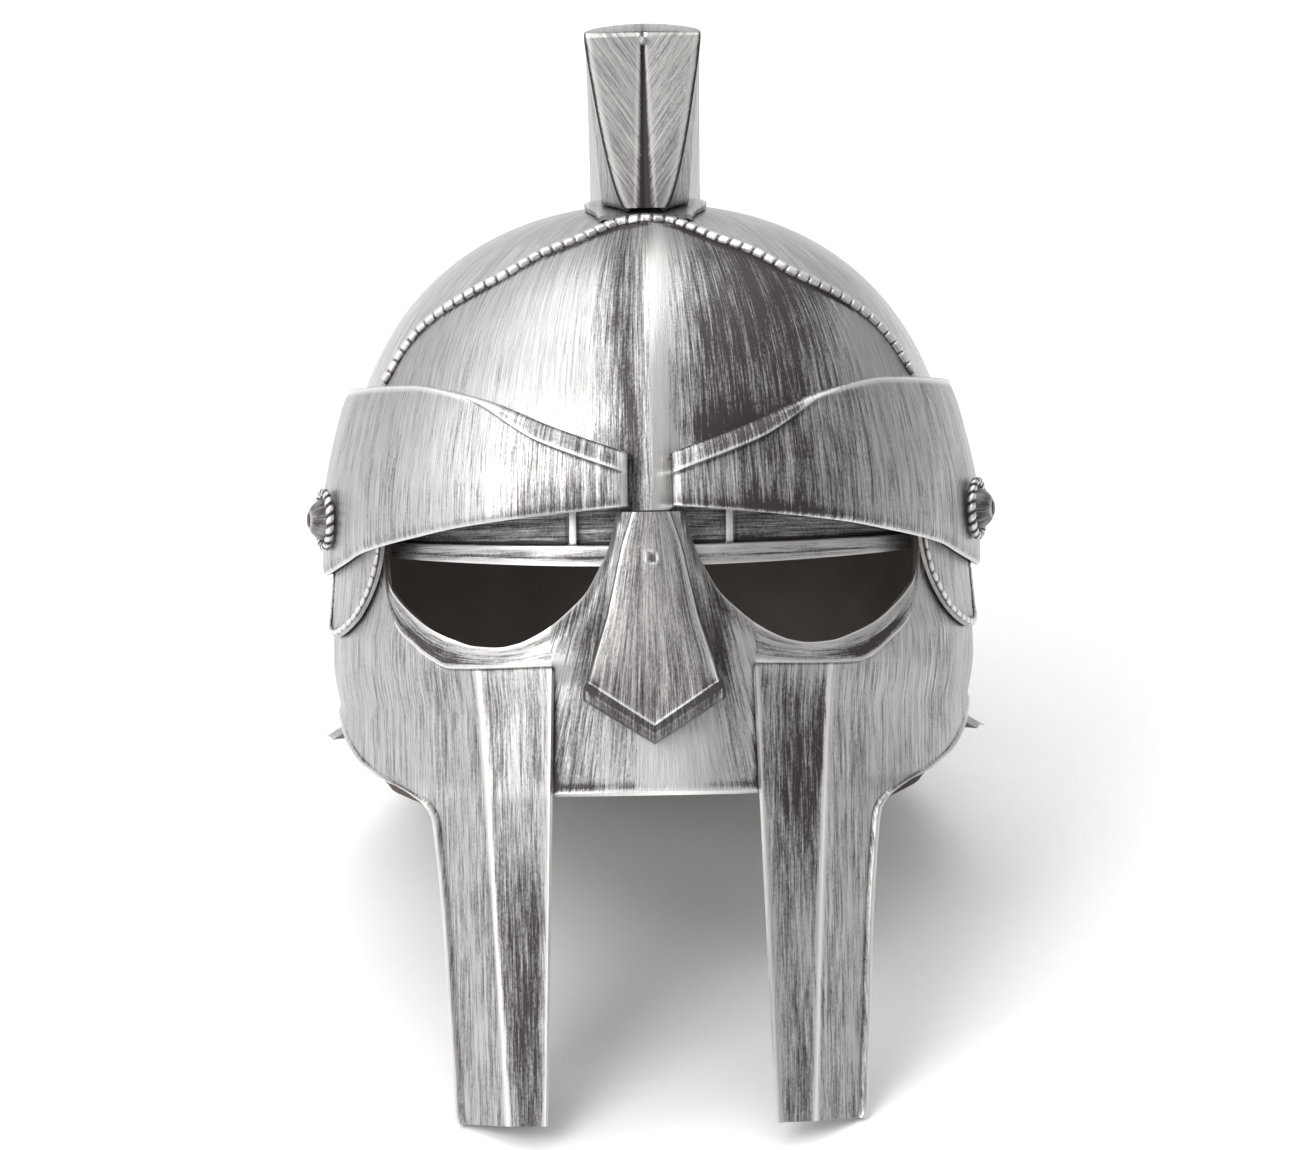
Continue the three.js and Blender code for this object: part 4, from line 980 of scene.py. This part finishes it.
def muzzle_plate():
    bridge = EYE_LINE[0][0] * DOME_HALF_WIDTH
    half = np.concatenate([np.linspace(0, bridge, 9)[:-1], even_on_eye(bridge, MUZZLE_SIDE, 300, 34)])
    x = np.concatenate([-half[:0:-1], half])
    at_eye = np.abs(x) >= bridge
    top = np.where(at_eye, np.minimum(0, height_of(EYE_LINE, x)), 0.0)
    share = np.concatenate([np.linspace(0, 0.12, 8), np.linspace(0.12, 1, 60)[1:]])[:, None]
    z = lerp(top, -LIP_DROP, share)
    sunk = EYE_BEVEL_DEPTH * at_eye * np.maximum(0, 1 - (top - z) / 7.0) ** 1.6
    recess = MUZZLE_RECESS * smooth(-z, BAR_START - 2, BAR_START + 6)
    lip_round = 0.9 * smooth(share, 0.985, 1.0)
    angle = plan_angle(x, half_width_at(MASK_WIDTHS, z))
    grid = mask_point(angle, z, -sunk - recess - lip_round)
    fan = np.arctan2(grid[..., 0], 60 - z) * 120
    shell("muzzle_shell", grid, MASK_WALL, stack(fan, z, 23.0), muzzle_tone(x, z, top - z, at_eye),
          ["muzzle_plate"])


def muzzle_tone(x, z, from_edge, at_eye):
    """Bright edges at the eyes and lip, a painted highlight low in the middle, paint worn in upright
    stretches over the mouth with painted shade and a painted highlight among them, and painted shade
    beside the nose guard.
    """
    out = np.abs(x)
    bright = 0.9 * at_eye * bump(from_edge, 0.6) + 0.95 * bump(z + LIP_DROP - 0.6, 0.8)
    # Painted highlight low on the middle of the muzzle.
    bright += 0.5 * bump(x - 4, 11) * smooth(-z, 64, 70)
    dark = 0.8 * bump(out - MUZZLE_SIDE, 1.4) * smooth(-z, BAR_START - 1, BAR_START + 1)
    dark += 0.2 * bump(from_edge - 3.5, 2) * at_eye + 0.4 * bump(z + LIP_DROP - 3, 1)
    # Upright stretches over the mouth: worn paint, with painted shade on the left and a painted highlight
    # right of the middle.
    mouth = 0.55 * bump(x + 8, 4) + 0.5 * bump(x + 25, 5) - 0.5 * bump(x - 6, 9) + 0.25 * bump(x - 26, 5)
    thin = 0.05 + mouth * smooth(-z, 60, 75)
    # Painted shade on the muzzle beside the nose guard.
    thin += 0.8 * bump(out - 18 + 0.14 * (z + 20), 5) * bump(z + 40, 20)
    thin -= 0.45 * bump(out - 28, 6) * bump(z + 47, 9)
    return tone_of(np.clip(bright, 0, 1), dark, thin)


def nasal_guard():
    """Kite-shaped plate that stands forward, with a bevelled point below and a dimple above."""
    table = np.array(NASAL_ROWS)
    key = np.r_[np.linspace(0, 4, 70), NASAL_ROUNDED_KEYS][:, None]
    down, width, out, lift = (np.interp(key, np.arange(8), table[:, k]) for k in range(4))
    face = np.linspace(-NASAL_FACE, NASAL_FACE, 53)
    sides = np.concatenate([[-1.0, -0.995, -0.985], face, [0.985, 0.995, 1.0]])
    depth_share = np.concatenate([[0.0, 0.4, 0.8], np.ones(len(face)), [0.8, 0.4, 0.0]])
    half_width = lerp(NASAL_HALF_TOP, NASAL_HALF_FOOT, width)
    x = sides * half_width
    z = -NASAL_LENGTH * (down - lift * NASAL_CORNER_RISE * np.abs(sides))
    base = mask_point(plan_angle(x, DOME_HALF_WIDTH), z, -MUZZLE_RECESS)[..., 1]
    dimple = np.hypot(x - 0.2, z + DIMPLE_DROP)
    full = lerp(NASAL_OUT_TOP, NASAL_OUT_FOOT, out) + NASAL_CROWN * (1 - sides * sides)
    full += 0.4 * bump(dimple - 2.0, 0.6) - 0.8 * bump(dimple, 1.1)
    grid = stack(x, base - lerp(NASAL_EDGE_OUT, full, depth_share), z)
    edge = 0.4 * bump((NASAL_FACE - np.abs(sides)) * half_width, 0.8) + 0.95 * bump(key - 4.03, 0.05)
    edge = edge + 0.15 * bump(key - 5, 0.12) + 0.1 * bump(key - 6, 0.12) + 0.4 * bump(dimple - 1.7, 0.5)
    dark = 0.9 * bump(dimple, 1) + 0.2 * (key > 4.1) * (key < 4.95)
    dark += 0.9 * bump(np.abs(x) - 19, 2) * bump(z + 53.5, 2.2)
    dark += 0.8 * (depth_share < 0.9) * (np.abs(sides) > 0.97)
    thin = 0.12 - 0.15 * bump(x, 5) + 0.2 * smooth(-z, 30, 60) + 0.2 * (key > 4.1)
    shell("nasal_shell", grid, NASAL_WALL, stack(x * 22 / half_width, z, 29.0),
          tone_of(np.clip(edge, 0, 1), dark, thin), ["nasal_guard"], paint=DARK_SILVER)


def rim_band():
    """Recess with two ribs behind the eyes, and the strip below it."""
    half_width = DOME_HALF_WIDTH - NAPE_INSET - SEAT_GAP
    reach = FACET_REACH * DOME_HALF_WIDTH
    x = np.linspace(-reach, reach, 241)
    rib = 1 - smooth(np.abs(np.abs(x) - RIB_PLACE), 0.38 * RIB_WIDTH, 0.56 * RIB_WIDTH)
    rib_depth = RIM_BAND_STEP - RIB_RISE * rib
    arch = lerp(1, RIM_BAND_ARCH, (x / reach) ** 2)
    top, mid, low = FACE_EDGE - SEAT_GAP, -RIM_STRIP_TOP * arch, -RIM_STRIP_FOOT * arch
    section = [(lerp(top, mid, share), rib_depth, 0.2) for share in np.r_[0, np.linspace(0.1, 0.94, 9)]]
    section += [(mid, rib_depth - 0.4, 1.0), (mid - 0.25, 0.35 * RIM_BAND_STEP, 0.6),
                (mid - 0.5, 0.25, 0.0)]
    section += [(lerp(mid - 0.9, low, share), 0.0, 0.0) for share in np.r_[0, np.linspace(0.15, 1, 9)]]
    z, back, dark = (np.stack([row[k] + 0 * x for row in section]) for k in range(3))
    px, py = plan_point(plan_angle(x, half_width), half_width, MASK_FRONT - RIM_BAND_SET_BACK - back)
    strip = z < mid - 0.3
    edge = np.where(strip, 0.05 + 0.5 * bump(z - mid + 0.9, 0.6) + 0.6 * bump(z - low, 0.6), 0.6 * rib)
    line = 0.5 * bump(z - lerp(mid, low, 0.62), 0.35) * strip
    tone = tone_of(np.clip(edge, 0, 1), dark * (1 - 0.8 * rib) + line, np.where(strip, 0.05, 0.3))
    shell("rim_band_shell", stack(px, py, z), RIM_BAND_WALL, stack(z, px, 31.0), tone, ["rim_band"])


def tab_point(y, z, outside):
    """Point at a distance outside the side of the mask."""
    half_width = half_width_at(MASK_WIDTHS, z) + outside
    front = MASK_FRONT + outside
    x = half_width * (1 - (np.abs(y) / front) ** PLAN_ROUNDNESS) ** (1 / PLAN_ROUNDNESS)
    return stack(x, y, z)


def temple_tab(side, side_name):
    outside = 2 * SEAT_GAP + TAB_WALL
    across = np.sin(np.linspace(-1, 1, 61) * math.pi / 2) * 0.999
    y = -TAB_CENTRE + across * TAB_HALF_WIDTH
    foot = -TAB_TOP - 1 - (TAB_DROP - TAB_TOP - 1) * np.sqrt(1 - across * across)
    z = lerp(-TAB_TOP, foot, np.linspace(0, 1, 30)[:, None])
    tone = tone_of(0.5 * bump(z - foot, 0.5), 0.5 * bump(z - foot - 2.6, 0.6), 0.05)
    shell(f"temple_tab_shell_{side_name}", tab_point(y, z, outside), TAB_WALL,
          stack(y, z, 37.0 + side), tone, [f"temple_tab_{side_name}"], side=side)
    turn = np.linspace(-0.5, 0.5, 241) * math.pi
    rim_y = -TAB_CENTRE + (TAB_HALF_WIDTH - 1.2) * np.sin(turn)
    rim_z = -TAB_TOP - 1 - (TAB_DROP - TAB_TOP - 2.2) * np.cos(turn)
    line = tab_point(rim_y, rim_z, outside)
    ahead = unit(np.gradient(line, axis=0))
    outward = line * np.array((1.0, 0.3, 0.0))
    outward = unit(outward - ahead * np.sum(outward * ahead, axis=1, keepdims=True))
    cord = [line, outward, np.cross(ahead, outward)]
    if side < 0:
        cord = [part[::-1] * np.array((-1, 1, 1)) for part in cord]
    laced_cord(f"temple_lacing_{side_name}", *cord, 2.2, 0.9, [f"temple_tab_{side_name}"], 41.0 + side)


def stud_frame(side):
    """Place of a stud on the band, and its outward, level and upward directions."""
    half_width = half_width_at(BAND_WIDTHS, 0)
    front = band_front(half_width)
    azimuth = math.radians(STUD_AZIMUTH)
    angle = math.atan((math.tan(azimuth) * front / half_width) ** (1 / (2 - 2 / PLAN_ROUNDNESS)))
    place = band_point(angle, 0.0, 0.0)
    normal = np.array((math.sin(azimuth), -math.cos(azimuth), 0))
    level = np.array((math.cos(azimuth), math.sin(azimuth), 0))
    flip = np.array((side, 1, 1))
    return place * flip, normal * flip, level * flip, np.array((0, 0, 1.0))


def lathe_piece(name, side, radius, height, turn, tone, material, nodes, seed):
    """Turned piece round a stud's direction, from its radius and height at each turn."""
    place, normal, level, up = stud_frame(side)
    ahead, over = radius * np.cos(turn * side), radius * np.sin(turn * side)
    grid = place + normal * height[..., None] + level * ahead[..., None] + up * over[..., None]
    points, faces, first = weld(grid.reshape(-1, 3), grid_faces(*grid.shape[:2]))
    brush = stack(turn * 7 + 0 * radius, height * 2, seed)
    brush, tone = (np.broadcast_to(a, grid.shape).reshape(-1, 3)[first] for a in (brush, tone))
    attributes = {"brush": brush, "tone": tone, "worn": points}
    piece(name, points, polygons(faces), attributes, [material], (0, 0), nodes, 50)


def full_turn(sections):
    return np.linspace(0, 2 * math.pi, sections + 1)


def stud_ball_and_tip(side, side_name):
    floor = SEAT_GAP + STUD_RADIUS - 2
    hole = STUD_TIP_RADIUS + SEAT_GAP / 2
    rise = np.linspace(0, math.acos(hole / STUD_RADIUS), 20)
    lip = SEAT_GAP + STUD_RADIUS * math.sin(rise[-1])
    radius = np.r_[0, STUD_RADIUS * np.cos(rise), hole - 0.15, hole, 0][:, None]
    height = np.r_[SEAT_GAP, SEAT_GAP + STUD_RADIUS * np.sin(rise), lip - 0.2, floor, floor][:, None]
    turn = full_turn(56)
    tone = tone_of(0.5 * bump(height - lip, 0.5), 0.5 * bump(height - SEAT_GAP, 1),
                   0.35 + 0.3 * np.sin(turn * 3 + height))
    lathe_piece(f"stud_ball_{side_name}", side, radius, height, turn, tone, DARK_SILVER,
                [f"stud_{side_name}"], 43.0)
    low, high = floor + 0.25, SEAT_GAP + STUD_RADIUS - 0.25
    radius = STUD_TIP_RADIUS * np.array((0, 1, 1, 1, 0))[:, None]
    radius[3] -= 0.3
    height = np.array((low, low, high - 0.3, high, high))[:, None]
    lathe_piece(f"stud_tip_end_{side_name}", side, radius, height, full_turn(32), tone_of(), BLACK,
                [f"stud_tip_{side_name}"], 47.0)


def stud_rope(side, side_name):
    """Cord of twisted strands round a stud."""
    around = np.linspace(0, -2 * math.pi, 19)[:, None]
    turn = full_turn(216)
    twist = 0.5 + 0.5 * np.cos(18 * turn + around)
    thick = RING_TUBE * (0.72 + 0.28 * twist ** 0.5)
    radius = RING_RADIUS + np.cos(around) * thick
    height = SEAT_GAP + RING_TUBE + np.sin(around) * thick
    tone = tone_of(0.7 * twist, 1.1 * (1 - twist) ** 2.5)
    lathe_piece(f"stud_rope_{side_name}", side, radius, height, turn, tone, SILVER,
                [f"stud_ring_{side_name}"], 53.0)


def crest_saddle():
    """Low band over the dome: points on rays from the middle, out to the dome's raised surface."""
    outside = SADDLE_GAP + SADDLE_WALL
    share = np.linspace(0, 1, 90)
    middle = midline_point(np.radians(lerp(CREST_FRONT_ELEVATION, CREST_REAR_ELEVATION, share)), outside)
    across = np.sin(np.linspace(-1, 1, 25) * math.pi / 2)
    half = lerp(SADDLE_FRONT_HALF_WIDTH, SADDLE_HALF_WIDTH, smooth(share, 0, 0.12))[:, None]
    x = across * half
    y, z = middle[:, 1, None], middle[:, 2, None]
    low, high = np.zeros(x.shape), np.ones(x.shape)
    depth = np.where(y > 0, DOME_BACK, DOME_FRONT) + outside
    sideways = (np.abs(x) / (DOME_HALF_WIDTH + outside)) ** PLAN_ROUNDNESS
    for _ in range(30):
        scale = (low + high) / 2
        along = (np.abs(scale * y) / depth) ** PLAN_ROUNDNESS
        up = (np.abs(scale * z) / (DOME_HEIGHT + outside)) ** DOME_ROUNDNESS
        beyond = (sideways + along) ** (DOME_ROUNDNESS / PLAN_ROUNDNESS) + up > 1
        high, low = np.where(beyond, scale, high), np.where(beyond, low, scale)
    grid = stack(x, low * y, low * z - 0.5 * smooth(np.abs(across), 0.93, 1.0))
    brush = stack(x, share[:, None] * 180, 59.0)
    rim_gap = np.abs(x) - half
    tone = tone_of(0.2 * bump(rim_gap + 0.8, 0.7), 0.5 * bump(rim_gap, 0.4), 0.05)
    shell("crest_saddle_shell", grid[::-1], SADDLE_WALL, brush[::-1], tone[::-1], ["crest_saddle"],
          paint=SMOOTH_SILVER)


def crest_section(share):
    """Points of one section of the comb, from its left foot over the top to its right foot."""
    base, outward, height = crest_frame(share)
    back = float(smooth(share, 0.0, 0.07))
    half_base = lerp(CREST_FRONT_HALF_BASE, CREST_HALF_BASE, back)
    up = np.linspace(0, 0.965, 30)
    side_x = lerp(half_base, CREST_HALF_TOP, up ** lerp(PANEL_SPREAD, CREST_SPREAD, back))
    top_x = CREST_HALF_TOP * np.cos(np.linspace(0.06, 0.5, 12) * math.pi)
    crown = CREST_CROWN * (1 - (top_x / CREST_HALF_TOP) ** 2) * min(1, 0.3 + share * 6)
    up_mm = np.r_[up * height, height + crown - 0.5 * (top_x / CREST_HALF_TOP) ** 8]
    x = np.r_[side_x, top_x]
    up_mm, x = np.r_[up_mm, up_mm[-2::-1]], np.r_[x, -x[-2::-1]]
    points = base + outward * up_mm[:, None]
    points[:, 0] += x
    return points, x, up_mm


def crest_shell():
    shares = np.concatenate([np.linspace(0, 0.07, 9), np.linspace(0.07, 1, 90)[1:]])
    rows, brushes, tones = [], [], []
    for share in shares:
        points, x, up_mm = crest_section(float(share))
        along, full = share * 190, up_mm.max()
        on_top = up_mm > 0.985 * full
        near_top = up_mm > 0.9 * full
        stroke = np.where(on_top, 1.2 * x, along + 0.25 * up_mm)
        edge = 0.15 * bump(np.abs(x) - CREST_HALF_TOP, 1.0) * near_top
        dark = 0.8 * bump(along, 0.5) * (up_mm < 0.93 * full) + 0.5 * bump(x, 0.4) * near_top
        rows.append(points)
        brushes.append(stack(stroke, np.where(on_top, along, up_mm), 61.0))
        tones.append(tone_of(edge, dark + 0.5 * bump(up_mm, 1.2), 0.25 - 0.35 * on_top))
    for scale in (0.66, 0.33, 0.0):
        rows.append(points * np.array((scale, 1, 1)))
    grid, brush, tone = (np.stack(part + part[-1:] * (len(rows) - len(part)))
                         for part in (rows, brushes, tones))
    shell("crest_comb", grid[::-1, ::-1], CREST_WALL, brush[::-1, ::-1], tone[::-1, ::-1], ["crest"],
          paint=CREST_SILVER)


def crest_front():
    """Front panel: brush strokes fan out from a dark groove down its middle, and dark grooves
    part its tapering sides from the comb's flanks."""
    base, outward, height = crest_frame(0.0)
    up = np.concatenate([np.linspace(1.0, 0.96, 8), np.linspace(0.96, 0.02, 110)[1:]])[:, None]
    side = np.linspace(-1, 1, 85)
    half = lerp(CREST_FRONT_HALF_BASE, CREST_HALF_TOP, up ** PANEL_SPREAD) - 0.3
    x = side * half
    out, up_mm = np.abs(x), up * height
    line_half = lerp(1.75, 0.55, up)
    forward = CREST_WALL + SEAT_GAP + CREST_BOW * (1 - side * side) - 0.15
    forward = forward - 0.8 * bump(x, line_half * 0.75)
    forward -= 0.8 * smooth(up, 0.975, 1.0) + 0.5 * smooth(np.abs(side), 0.94, 1.0)
    grid = base + outward * up_mm[..., None] + stack(x, -forward, 0)
    brush = stack(0.8 * up_mm - 1.2 * out, 1.2 * out + 0.4 * up_mm, 67.0)
    edge = 0.35 * bump(out - half + 1.3, 0.7) + 0.3 * bump(out - line_half * 1.9, 0.5)
    dark = 1.1 * bump(x, line_half) * (1 - smooth(up, 0.945, 0.965)) + 0.6 * bump(x, 0.3)
    dark += bump(out - half, 0.45)
    thin = 0.1 + 0.2 * smooth(-up, -0.35, -0.05) + 0.12 * bump(np.abs(side) - 0.45, 0.3)
    shell("crest_panel", grid, CREST_WALL, brush, tone_of(edge, dark, thin), ["crest_front"],
          paint=CREST_SILVER)


def crest_pin():
    """Small ball with four faint facets."""
    place = pin_place()
    rise = np.linspace(math.pi / 2, -math.pi / 2, 13)[:, None]
    turn = full_turn(24)
    radius = PIN_RADIUS * (0.93 + 0.02 * np.cos(4 * turn)) * np.cos(rise)
    grid = place + stack(radius * np.cos(turn), radius * np.sin(turn), 0.95 * PIN_RADIUS * np.sin(rise))
    points, faces, _ = weld(grid.reshape(-1, 3), grid_faces(*grid.shape[:2]))
    tone = np.broadcast_to(tone_of(edge=0.3, thin=0.2), points.shape)
    attributes = {"brush": points - place, "tone": tone, "worn": points}
    piece("crest_pin_ball", points, polygons(faces), attributes, [DARK_SILVER], (0, 0), ["crest_pin"])


# Floor, light and camera
LIT_PLACE = Vector((0, 0, 0.13))
# Place and size in metres, and power in watts
SOFT_BOXES = (
    ("key", (-1.2, -1.4, 1.7), (1.2, 1.3), 29),
    ("side", (-1.9, -0.3, 1.1), (0.6, 1.2), 5),
    ("top", (-0.2, 0.4, 2.2), (2.6, 1.8), 30),
)


def studio():
    bpy.ops.mesh.primitive_plane_add(size=30)
    floor = bpy.context.object
    floor.name = "floor"
    material, tree = new_material("floor_paper")
    n = Nodes(tree)
    place = n.add("ShaderNodeTexCoord").outputs["Object"]
    grain = n.noise(place, scale=220, detail=2)
    color = n.mix(grain, (0.86, 0.86, 0.86, 1.0), (0.9, 0.9, 0.9, 1.0))
    n.surface(color, 0.0, 0.8, grain, 0.05)
    floor.data.materials.append(material)

    world = bpy.data.worlds.new("studio")
    bpy.context.scene.world = world
    world.use_nodes = True
    background = world.node_tree.nodes["Background"]
    background.inputs[0].default_value = (1.0, 1.0, 1.0, 1.0)
    sky = Nodes(world.node_tree)
    across = sky.split(sky.add("ShaderNodeTexCoord").outputs["Generated"])[0]
    sky.put(background.inputs[1], sky.span(across, -0.7, 0.7, 1.0, 0.58))
    bpy.context.scene.view_settings.view_transform = "Standard"

    for name, location, size, power in SOFT_BOXES:
        light = bpy.data.lights.new(name, "AREA")
        light.shape = "RECTANGLE"
        light.size, light.size_y = size
        light.energy = power
        obj = bpy.data.objects.new(name, light)
        bpy.context.collection.objects.link(obj)
        obj.location = location
        aim = LIT_PLACE - Vector(location)
        obj.rotation_euler = aim.to_track_quat("-Z", "Y").to_euler()


SCALE_AT_STUDS = 0.321         # millimetres per pixel in the studs' plane
CAMERA_DISTANCE = 2200.0
AXIS_HEIGHT = -19.3            # height that the camera looks at, from the studs
PHOTO_WIDTH = 1304
PHOTO_ROLL = 1.03              # degrees that the helmet leans to the left in the picture


def camera():
    data = bpy.data.cameras.new("camera")
    data.sensor_width = 36
    data.lens = data.sensor_width * CAMERA_DISTANCE / (SCALE_AT_STUDS * PHOTO_WIDTH)
    data.clip_end = 50
    obj = bpy.data.objects.new("camera", data)
    bpy.context.collection.objects.link(obj)
    worn = Matrix.Translation(Vector((0, -CAMERA_DISTANCE, AXIS_HEIGHT)) * MM)
    aim = Matrix.Rotation(math.pi / 2, 4, "X")
    roll = Matrix.Rotation(-math.radians(PHOTO_ROLL), 4, "Z")
    obj.matrix_world = TO_REST @ worn @ aim @ roll
    bpy.context.scene.camera = obj


camera()
studio()
skull_dome()
neck_guard()
crest_saddle()
crest_shell()
crest_front()
crest_pin()
forehead_plate()
forehead_trim()
rim_band()
muzzle_plate()
nasal_guard()
for sign, word in ((1, "right"), (-1, "left")):
    brow_band(sign, word)
    cheek_guard(sign, word)
    temple_tab(sign, word)
    stud_ball_and_tip(sign, word)
    stud_rope(sign, word)
